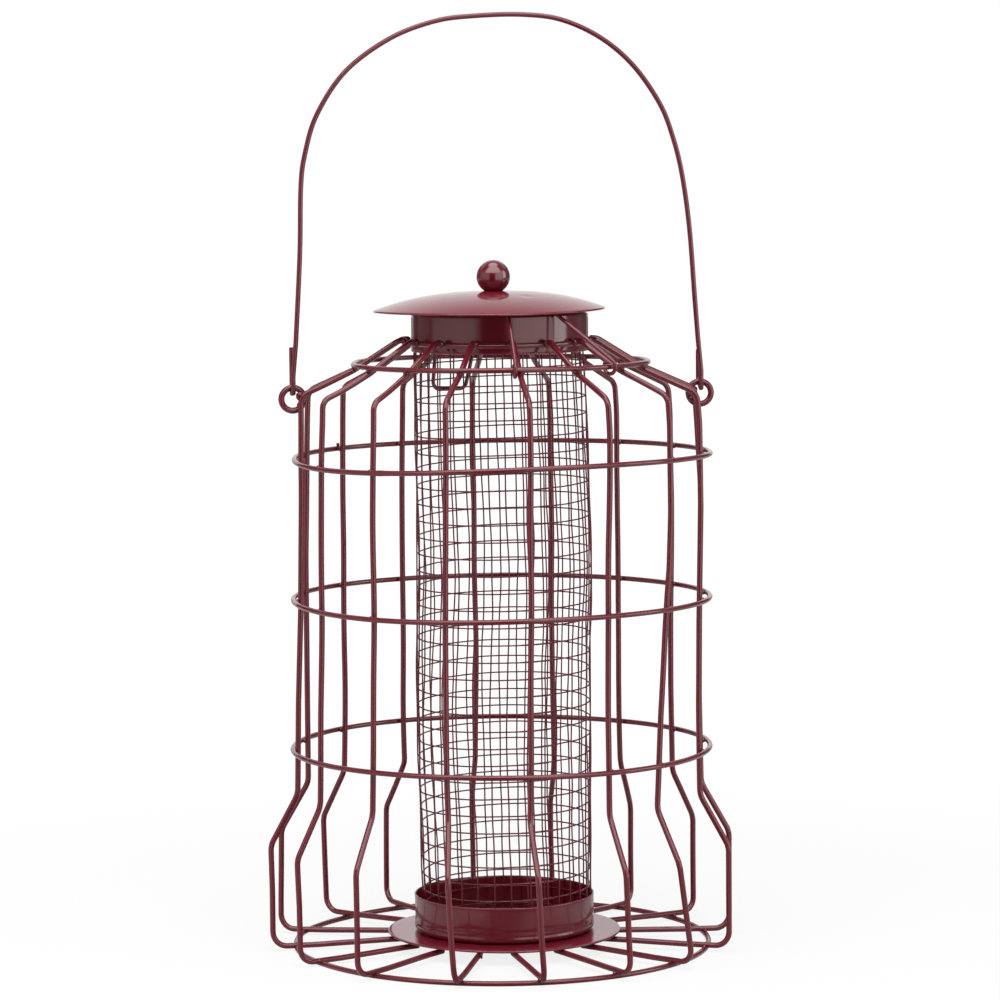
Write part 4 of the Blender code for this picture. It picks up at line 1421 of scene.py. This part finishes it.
@dataclass
class HandleEyes(Assembly):
    """The two wire eyes at the shoulders, each closed by two weld beads on its upright."""

    wire: float = 2.4 * MM
    radius: float = 4.35 * MM
    twist: float = 0.25 * MM
    steps: int = 64
    sides: int = 14
    bead_seed: int = 31
    weld_reach: float = 2.2 * MM
    beads: tuple[tuple[float, float, Triple], ...] = (
        (0.62, 0.25, (1.8 * MM, 1.0 * MM, 1.6 * MM)),
        (0.70, -0.5, (1.5 * MM, 0.95 * MM, 1.4 * MM)),
    )

    def build(self) -> None:
        """Add both eyes with their welds, whose places are shares of the eye's radius."""
        angle = round_angles(self.steps)
        for name, side in (("eye_left", -1.0), ("eye_right", 1.0)):
            low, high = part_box(name)
            centre = 0.5 * (np.array(low) + np.array(high))
            twist = self.twist * np.cos(angle_from(0.0 if side < 0.0 else math.pi, angle))
            circle = side_by_side(self.radius * np.cos(angle), twist, self.radius * np.sin(angle))
            shells = [swept_wire((centre + circle)[::-1], 0.5 * self.wire, self.sides, closed=True)]
            places = []
            for seed, (inward, up, sizes) in enumerate(self.beads, self.bead_seed):
                step = (-side * inward * self.radius, -0.5 * self.wire, up * self.radius)
                places.append(centre + np.array(step))
                shells.append(lump(places[-1], np.eye(3), sizes, seed))
            shell = Shell.joined(shells)
            shell.mask(WELD_MASK, nearness(shell.points, np.array(places), self.weld_reach))
            self.bench.add(f"handle_{name}", shell, Slot.FITTINGS_WIRE, Body.CAGE, name)


@dataclass
class Handle(Assembly):
    """The wire handle: a hand-bent arch whose ends hook round the tops of the eyes."""

    wire: float = 1.9 * MM
    sides: int = 14
    step: float = 3.0 * MM
    arch_steps: int = 9
    reach: float = 78.6 * MM
    axis: Pair = (2.6 * MM, 216.05 * MM)
    eye_radius: float = 4.35 * MM
    eye_wire: float = 2.4 * MM
    hook_gap: float = 0.75 * MM
    hook_drop: float = 5.3 * MM
    bend_share: float = 0.98
    rise: float = 140.4 * MM
    tails: Pair = (15.0 * MM, 12.0 * MM)
    # The arch's points as shares of the reach and of the rise
    arch: tuple[Pair, ...] = (
        (-0.985, 0.12), (-0.960, 0.36), (-0.951, 0.54), (-0.929, 0.63), (-0.869, 0.735),
        (-0.729, 0.85), (-0.514, 0.937), (-0.295, 0.983), (-0.10, 0.997), (0.13, 1.0),
        (0.32, 0.986), (0.51, 0.938), (0.67, 0.863), (0.80, 0.76), (0.865, 0.668),
        (0.91, 0.565), (0.945, 0.42), (0.97, 0.23), (0.985, 0.12),
    )

    def __post_init__(self) -> None:
        """Work out half the hook's width: the legs stand clear of the eye's wire on both sides."""
        self.half = 0.5 * self.eye_wire + self.hook_gap + 0.5 * self.wire

    def hook(self, side: float, tail: float) -> np.ndarray:
        """Return one end's hook: down behind the eye, through it, and up in front.

        Args:
            side: -1 for the left eye and 1 for the right.
            tail: How far the wire's tip stands above the axis.

        Returns:
            The hook's points, from the tip to the foot of the leg.
        """
        middle, height = self.axis
        across, bottom = side * self.reach, height - self.hook_drop
        corners = [
            (across, middle + self.half, height + tail),
            (across, middle + self.half, bottom),
            (across, middle - self.half, bottom),
            (across, middle - self.half, height + self.eye_radius),
        ]
        bend = self.bend_share * self.half
        return bent_path(corners, [0.0, bend, bend, 0.0])

    def build(self) -> None:
        """Add the handle as one wire, its arch a smooth curve through the arch's shares."""
        across, up = np.array(self.arch).T
        middle = self.axis[0] - self.half
        arch = side_by_side(across * self.reach, middle, self.axis[1] + up * self.rise)
        left, right = self.hook(-1.0, self.tails[0]), self.hook(1.0, self.tails[1])
        line = np.vstack((left, smooth_path(arch, self.arch_steps), right[::-1]))
        shell = swept_wire(refined(line, self.step), 0.5 * self.wire, self.sides)
        self.bench.add("carrying_handle", shell, Slot.FITTINGS_WIRE, Body.HANDLE, "handle")


@dataclass
class Lid(Assembly):
    """The spun dome, its ball knob and the bent wire that hinges and latches it."""

    sheet: float = 0.8 * MM
    around: int = 224
    rows: int = 72
    dome_power: float = 2.4
    dome_rise: float = 7.3 * MM
    rim_lift: float = 1.4 * MM
    bore: float = 3.8 * MM
    dent: Triple = (11.0 * MM, -21.0 * MM, 2.6 * MM)
    dent_depth: float = 0.22 * MM
    flex: float = 0.16 * MM
    right_lift: float = 0.8 * MM
    lift_start: float = 6.0 * MM
    rim_fade: float = 0.35 * MM
    knob_radius: float = 6.4 * MM
    knob_shift: float = 1.7 * MM
    knob_around: int = 64
    knob_rows: int = 44
    shank: float = 1.8 * MM
    head: float = 4.8 * MM
    head_height: float = 1.0 * MM
    head_round: float = 0.5 * MM
    head_flat_share: float = 0.7
    seat_gap: float = 0.3 * MM
    wire: float = 1.5 * MM
    step: float = 2.0 * MM
    top_hoop_wire: float = 2.0 * MM
    hinge_turn: float = 18.7 * DEG
    eye_spread: float = 20.35 * DEG
    eye_bore: float = 4.0 * MM
    eye_wrap: float = 250.0 * DEG
    eye_steps: int = 28
    arm_spread: float = 9.7 * MM
    arm_shift: float = -3.6 * MM
    arm_slope: float = 49.0 * DEG
    arm_front: float = 0.62
    arm_back: float = 0.85
    catch_inset: float = 24.0 * MM
    catch_drop: float = 31.0 * MM
    catch_feet: Pair = (-16.5 * MM, -2.6 * MM)
    catch_bend: float = 3.0 * MM
    neck_radius: float = 33.6 * MM

    def __post_init__(self) -> None:
        """Read the dome's middle, edge and rim from the CAD nodes."""
        low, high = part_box("lid_dome")
        self.middle = 0.5 * (low.x + high.x)
        self.radius = 0.5 * (high.x - low.x)
        self.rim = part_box("collar")[1].z + self.rim_lift

    def dome(self, out: np.ndarray | float) -> np.ndarray | float:
        """Return the dome's outer height: rim + rise * (1 - (out / radius) to the dome's power)."""
        return self.rim + self.dome_rise * (1.0 - (np.abs(out) / self.radius) ** self.dome_power)

    def build(self) -> None:
        """Add the dome, the knob and the wire."""
        self.bench.add("spun_lid", self.dome_shell(), Slot.SHEET_TOP, Body.LID, "lid_dome")
        self.bench.add("ball_knob", self.knob_shell(), Slot.KNOB, Body.LID, "lid_knob")
        line = np.vstack((self.half_line(-1.0), self.half_line(1.0)[::-1][1:]))
        wire = swept_wire(refined(line, self.step), 0.5 * self.wire, end=WireEnd.ROUND)
        self.bench.add("lid_hinge_wire", wire, Slot.FITTINGS_WIRE, Body.LID, "lid_wire")

    def dome_shell(self) -> Shell:
        """Return the dome: a curved sheet with a bore, a rounded rim and one small dent.

        The rings' centres move over from the knob's at the bore to the rim's at the edge. The rim
        waves with sin(2 angle) times the cube of the share of its radius, and lifts toward +X.
        """
        out = np.linspace(self.radius - 0.2 * self.sheet, self.bore, self.rows)
        outer = side_by_side(out, self.dome(out))
        shell = spun_sheet(sheet_profile(outer, self.sheet), self.around)
        x, y, z = shell.points.T
        away = np.hypot(x - self.dent[0], y - self.dent[1])
        angle, reach = np.arctan2(y, x), np.hypot(x, y)
        flex = self.flex * np.sin(2.0 * angle + 1.1) * np.clip(reach / self.radius, 0.0, 1.0) ** 3
        flex += self.right_lift * np.clip((x - self.lift_start) / (self.radius - self.lift_start), 0.0, 1.0)
        shell.points[:, 2] = z + flex - self.dent_depth * bell(away, self.dent[2])
        # The rim mask draws the paint lighter toward the dome's edge.
        shell.mask(RIM_MASK, np.exp(-(self.radius - reach) / self.rim_fade))
        shell.points[:, 0] += self.knob_shift * (self.radius - reach) / (self.radius - self.bore)
        return shell.moved((self.middle, 0.0, 0.0))

    def knob_shell(self) -> Shell:
        """Return the knob: a ball sunk in the dome's bore, its shank and a peened head under it."""
        under = float(self.dome(self.head)) - self.sheet - self.seat_gap
        sunk = math.sqrt(self.knob_radius**2 - (self.bore - self.seat_gap) ** 2)
        centre = (0.0, float(self.dome(self.bore)) + sunk)
        tilt = -math.acos(self.shank / self.knob_radius)
        ball = arc_pairs(centre, self.knob_radius, tilt, 90.0 * DEG, self.knob_rows)
        ball[-1, 0] = 0.0
        corner = (self.head - self.head_round, under - self.head_round)
        peen = arc_pairs(corner, self.head_round, -60.0 * DEG, 90.0 * DEG, 6)
        below = under - self.head_height
        foot = np.array([(0.0, below), (self.head_flat_share * self.head, below)])
        stem = np.array([(self.shank, under)])
        shell = spun_sheet(np.vstack((foot, peen, stem, ball)), self.knob_around)
        return shell.moved((self.middle + self.knob_shift, 0.0, 0.0))

    def place(
        self, outward: float | np.ndarray, sideways: float | np.ndarray, height: float | np.ndarray
    ) -> np.ndarray:
        """Return points given from the axis toward the hinge, sideways, and up."""
        sin, cos = math.sin(self.hinge_turn), math.cos(self.hinge_turn)
        x, y = outward * sin + sideways * cos, -outward * cos + sideways * sin
        return side_by_side(x, y, height)

    def under(self, outward: float, sideways: float) -> np.ndarray:
        """Return the wire's point that lies against the underside of the dome."""
        point = self.place(outward, sideways, 0.0)
        reach = math.hypot(point[0] - self.middle, point[1])
        point[2] = float(self.dome(reach)) - self.sheet - self.seat_gap - 0.5 * self.wire
        return point

    def half_line(self, side: float) -> np.ndarray:
        """Return half of the wire: the eye round the hoop, the arm, and the catch's leg.

        Args:
            side: -1 or 1, for the side that it lies on.

        Returns:
            The centre line from the eye's tip to the middle of the catch.
        """
        low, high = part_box("top_hoop")
        hoop_radius = high.x - 0.5 * self.top_hoop_wire
        coil = 0.5 * (self.eye_bore + self.wire)
        angle = 90.0 * DEG - self.arm_slope - self.eye_wrap * np.linspace(1.0, 0.0, self.eye_steps)
        sin, cos = math.sin(self.eye_spread), math.cos(self.eye_spread)
        eye = self.place(
            hoop_radius * cos + coil * np.cos(angle) * cos,
            side * hoop_radius * sin + side * coil * np.cos(angle) * sin,
            0.5 * (low.z + high.z) + coil * np.sin(angle),
        )
        track = side * self.arm_spread + self.arm_shift
        neck = self.neck_radius + self.wire + self.seat_gap
        crossing = self.rim - self.rim_lift + self.seat_gap + 0.5 * self.wire
        inset, bottom = self.catch_inset, self.rim - self.catch_drop
        foot = self.catch_feet[0 if side < 0.0 else 1]
        corners = [
            eye[-1],
            self.place(neck, track, crossing),
            *(self.under(share * inset, track) for share in (self.arm_front, 0.0, -self.arm_back, -1.0)),
            self.place(-inset, foot, bottom),
            self.place(-inset, 0.5 * sum(self.catch_feet), bottom),
        ]
        bend = self.catch_bend
        return np.vstack((eye[:-1], bent_path(corners, [0.0, coil, bend, 0.0, 0.0, bend, bend, 0.0])))


# The studio


@dataclass
class Softbox:
    """One large soft lamp, named by where it stands round the feeder; gloss sees the world's cloths."""

    name: str
    turn: float
    lift: float
    distance: float
    width: float
    height: float
    power: float

    def stand(self, aim: Vector) -> None:
        """Set up the lamp at its angles from the camera's side, turned toward the aim.

        Args:
            aim: The point that it shines on.
        """
        data = bpy.data.lights.new(self.name, "AREA")
        data.shape = "RECTANGLE"
        data.size, data.size_y = self.width, self.height
        data.energy = self.power
        flat = self.distance * math.cos(self.lift)
        lamp = bpy.data.objects.new(self.name, data)
        lamp.location = aim + Vector(
            (flat * math.sin(self.turn), -flat * math.cos(self.turn), self.distance * math.sin(self.lift))
        )
        lamp.rotation_euler = (aim - lamp.location).to_track_quat("-Z", "Y").to_euler()
        lamp.visible_glossy = False
        bpy.context.scene.collection.objects.link(lamp)


@dataclass
class Studio:
    """The pale floor, the white surroundings, the soft lamps and the camera."""

    turn: float = -7.76 * DEG
    # The world's brightness, and the angles in degrees and heights between which it changes
    fill: float = 0.26
    cloth_level: float = 5.0
    overhead_level: float = 4.5
    front_level: float = 0.14
    back_levels: Pair = (0.90, 0.38)
    back_angles: Pair = (95.0, 125.0)
    back_lifts: Pair = (0.50, 0.90)
    strip_lifts: Pair = (0.35, 0.62)
    overhead_angles: Pair = (74.0, 48.0)
    overhead_lifts: Pair = (0.40, 0.52)
    zenith_lifts: Pair = (0.90, 0.96)
    strips: tuple[Pair, ...] = (
        (-180, 1.0), (-156, 1.0), (-150, 0.02), (-136, 0.02), (-130, 0.22), (-98, 0.30),
        (-94, 0.75), (-53, 1.1), (-34, 1.2), (-22, 0.0), (10, 0.0), (20, 2.2), (66, 2.4),
        (69, 0.2), (73, 4.4), (94, 4.4), (99, 0.2), (117, 0.2), (122, 0.3), (148, 0.02),
        (154, 0.02), (162, 1.0), (180, 1.0),
    )
    # The floor's reach in metres, and its paper, glow and shade
    floor_front: float = 0.45
    floor_back: float = 7.0
    floor_half: float = 2.5
    paper: float = 0.85
    shaded_paper: float = 0.15
    glow: float = 1.05
    glow_cover: Pair = (0.20, 0.80)
    glow_in_gloss: float = 0.12
    glow_reach: Pair = (0.22, 0.62)
    shade_half: Pair = (0.060, 0.015)
    shade_front: Pair = (-0.03, -0.06)
    # The lamps' aim, and the photograph's camera
    aim: Triple = (0.0, 0.0, 0.13)
    camera_place: Triple = (-0.1943, -1.4280, 0.2938)
    camera_aim: Triple = (0.00018, 0.0, 0.1719)
    camera_roll: float = -0.487 * DEG
    lens: float = 135.957
    sensor: float = 36.0

    def build(self) -> None:
        """Set up the whole studio."""
        bpy.context.scene.view_settings.view_transform = "Standard"
        self.lay_floor()
        self.wrap_world()
        aim = Vector(self.aim)
        for lamp in (
            Softbox("softbox_left", self.turn - 62.0 * DEG, 18.0 * DEG, 1.6, 0.9, 1.3, 6.0),
            Softbox("softbox_right", self.turn + 55.0 * DEG, 18.0 * DEG, 1.7, 0.8, 1.3, 5.0),
            Softbox("softbox_above", self.turn - 10.0 * DEG, 70.0 * DEG, 1.6, 1.3, 1.3, 20.0),
        ):
            lamp.stand(aim)
        self.set_camera()

    def lay_floor(self) -> None:
        """Lay a sheet of pale paper on the ground, its far edge long past the feeder."""
        mesh = bpy.data.meshes.new("studio_floor")
        left, right, front, back = -self.floor_half, self.floor_half, -self.floor_front, self.floor_back
        corners = [(left, front, 0.0), (right, front, 0.0), (right, back, 0.0), (left, back, 0.0)]
        mesh.from_pydata(corners, [], [(0, 1, 2, 3)])
        floor = bpy.data.objects.new("studio_floor", mesh)
        floor.rotation_euler.z = self.turn
        bpy.context.scene.collection.objects.link(floor)
        mesh.materials.append(self.pale_paper())

    def pale_paper(self) -> bpy.types.Material:
        """Return paper that glows white to the camera and still holds a soft shadow.

        Its glow covers more and more of the paper away from the feeder, so its far edge can't be
        told from the white behind it. In gloss the glow is dim, and the paper is darker in front
        of the feeder.
        """
        material = bpy.data.materials.new("pale_floor")
        material.use_nodes = True
        material.node_tree.nodes.clear()
        bench = NodeBench(material.node_tree)
        glow = bench.node("ShaderNodeEmission", Color=grey(1.0), Strength=self.glow)
        place = bench.node("ShaderNodeTexCoord").outputs["Object"]
        away = bench.node("ShaderNodeVectorMath", operation="LENGTH", Vector=place).outputs["Value"]
        rays = bench.node("ShaderNodeLightPath").outputs
        clear = bench.maths("MAXIMUM", rays["Is Camera Ray"], rays["Is Transmission Ray"])
        cover = bench.maths("MULTIPLY_ADD", bench.ramped(away, self.glow_reach), *self.glow_cover)
        in_gloss = bench.maths("MULTIPLY", rays["Is Glossy Ray"], self.glow_in_gloss)
        seen = bench.maths("MAXIMUM", bench.maths("MULTIPLY", clear, cover), in_gloss)
        axes = bench.node("ShaderNodeSeparateXYZ", Vector=place).outputs
        middle = bench.ramped(bench.maths("ABSOLUTE", axes["X"]), self.shade_half)
        before = bench.maths("MULTIPLY", middle, bench.ramped(axes["Y"], self.shade_front))
        shade = bench.maths("MULTIPLY", rays["Is Glossy Ray"], before)
        colour = bench.mixed(shade, grey(self.paper), grey(self.shaded_paper))
        paper = bench.node("ShaderNodeBsdfDiffuse", Color=colour)
        mix = bench.node("ShaderNodeMixShader")
        for slot, value in zip(mix.inputs, (seen, paper.outputs[0], glow.outputs[0])):
            bench.plug(slot, value)
        bench.node("ShaderNodeOutputMaterial", Surface=mix.outputs[0])
        return material

    def wrap_world(self) -> None:
        """Wrap the studio: white behind the feeder, lamps' cloths at its sides, dim in front.

        The angle round Z from the feeder's front is arctan2(x, -y) of the ray's way. Gloss sees the
        strips of the ramp at that angle, which darken upward, and one bright cloth above the front.
        """
        world = bpy.data.worlds.new("studio_world")
        bpy.context.scene.world = world
        world.use_nodes = True
        world.node_tree.nodes.clear()
        bench = NodeBench(world.node_tree)
        way = bench.node("ShaderNodeTexCoord").outputs["Generated"]
        axes = bench.node("ShaderNodeSeparateXYZ", Vector=way).outputs
        angle = bench.maths("ARCTAN2", axes["X"], bench.maths("MULTIPLY", axes["Y"], -1.0))
        turns = bench.maths("DIVIDE", bench.maths("ADD", angle, -self.turn), FULL_TURN)
        share = bench.maths("FRACT", bench.maths("ADD", turns, 0.5))
        strips = bench.node("ShaderNodeValToRGB", Fac=share)
        self.set_strips(strips.color_ramp)
        lit = bench.node("ShaderNodeVectorMath", operation="SCALE", Scale=self.cloth_level)
        bench.plug(lit.inputs[0], strips.outputs["Color"])
        degrees = bench.maths("MULTIPLY", bench.maths("SUBTRACT", share, 0.5), 360.0)
        around = bench.maths("ABSOLUTE", degrees)
        back = bench.mixed(bench.ramped(axes["Z"], self.back_lifts), *map(grey, self.back_levels))
        sky = bench.mixed(bench.ramped(around, self.back_angles), grey(self.front_level), back)
        sides = bench.mixed(bench.ramped(axes["Z"], self.strip_lifts), lit.outputs[0], sky)
        front = bench.ramped(around, self.overhead_angles)
        ahead = bench.maths("MAXIMUM", front, bench.ramped(axes["Z"], self.zenith_lifts))
        cloth = bench.maths("MULTIPLY", bench.ramped(axes["Z"], self.overhead_lifts), ahead)
        gloss = bench.mixed(cloth, sides, grey(self.overhead_level))
        rays = bench.node("ShaderNodeLightPath").outputs
        soft = bench.mixed(rays["Is Glossy Ray"], grey(self.fill), gloss)
        clear = bench.maths("MAXIMUM", rays["Is Camera Ray"], rays["Is Transmission Ray"])
        colour = bench.mixed(clear, soft, grey(1.0))
        light = bench.node("ShaderNodeBackground", Color=colour, Strength=1.0)
        bench.node("ShaderNodeOutputWorld", Surface=light.outputs[0])

    def set_strips(self, ramp: bpy.types.ColorRamp) -> None:
        """Set the strips that gloss sees: angle in degrees from the front, and brightness."""
        for degrees, _ in self.strips[1:-1]:
            ramp.elements.new(degrees / 360.0 + 0.5)
        for stop, (_, level) in zip(ramp.elements, self.strips):
            stop.color = grey(level / self.cloth_level)

    def set_camera(self) -> None:
        """Set the camera where the photograph was taken from, rolled by half a degree."""
        data = bpy.data.cameras.new("photo_camera")
        data.lens = self.lens
        data.sensor_width = self.sensor
        camera = bpy.data.objects.new("photo_camera", data)
        bpy.context.scene.collection.objects.link(camera)
        place, aim = Vector(self.camera_place), Vector(self.camera_aim)
        ahead = (aim - place).normalized()
        right = ahead.cross(Vector((0.0, 0.0, 1.0))).normalized()
        up = right.cross(ahead)
        cos, sin = math.cos(self.camera_roll), math.sin(self.camera_roll)
        across, over = right * cos + up * sin, up * cos - right * sin
        turn = Matrix((across, over, -ahead)).transposed()
        camera.matrix_world = Matrix.Translation(place) @ turn.to_4x4()
        bpy.context.scene.camera = camera


def main() -> None:
    """Load the frame, build each sub-assembly and set up the studio."""
    logging.basicConfig(level=logging.INFO, format="%(name)s: %(message)s")
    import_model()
    bench = Workbench()
    for assembly in (Cage, Neck, SeedTube, Base, HandleEyes, Handle, Lid):
        assembly(bench).build()
        LOG.info("%s is built", assembly.__name__)
    Studio().build()
    LOG.info("%d pieces", bench.count)


if __name__ == "__main__":
    main()
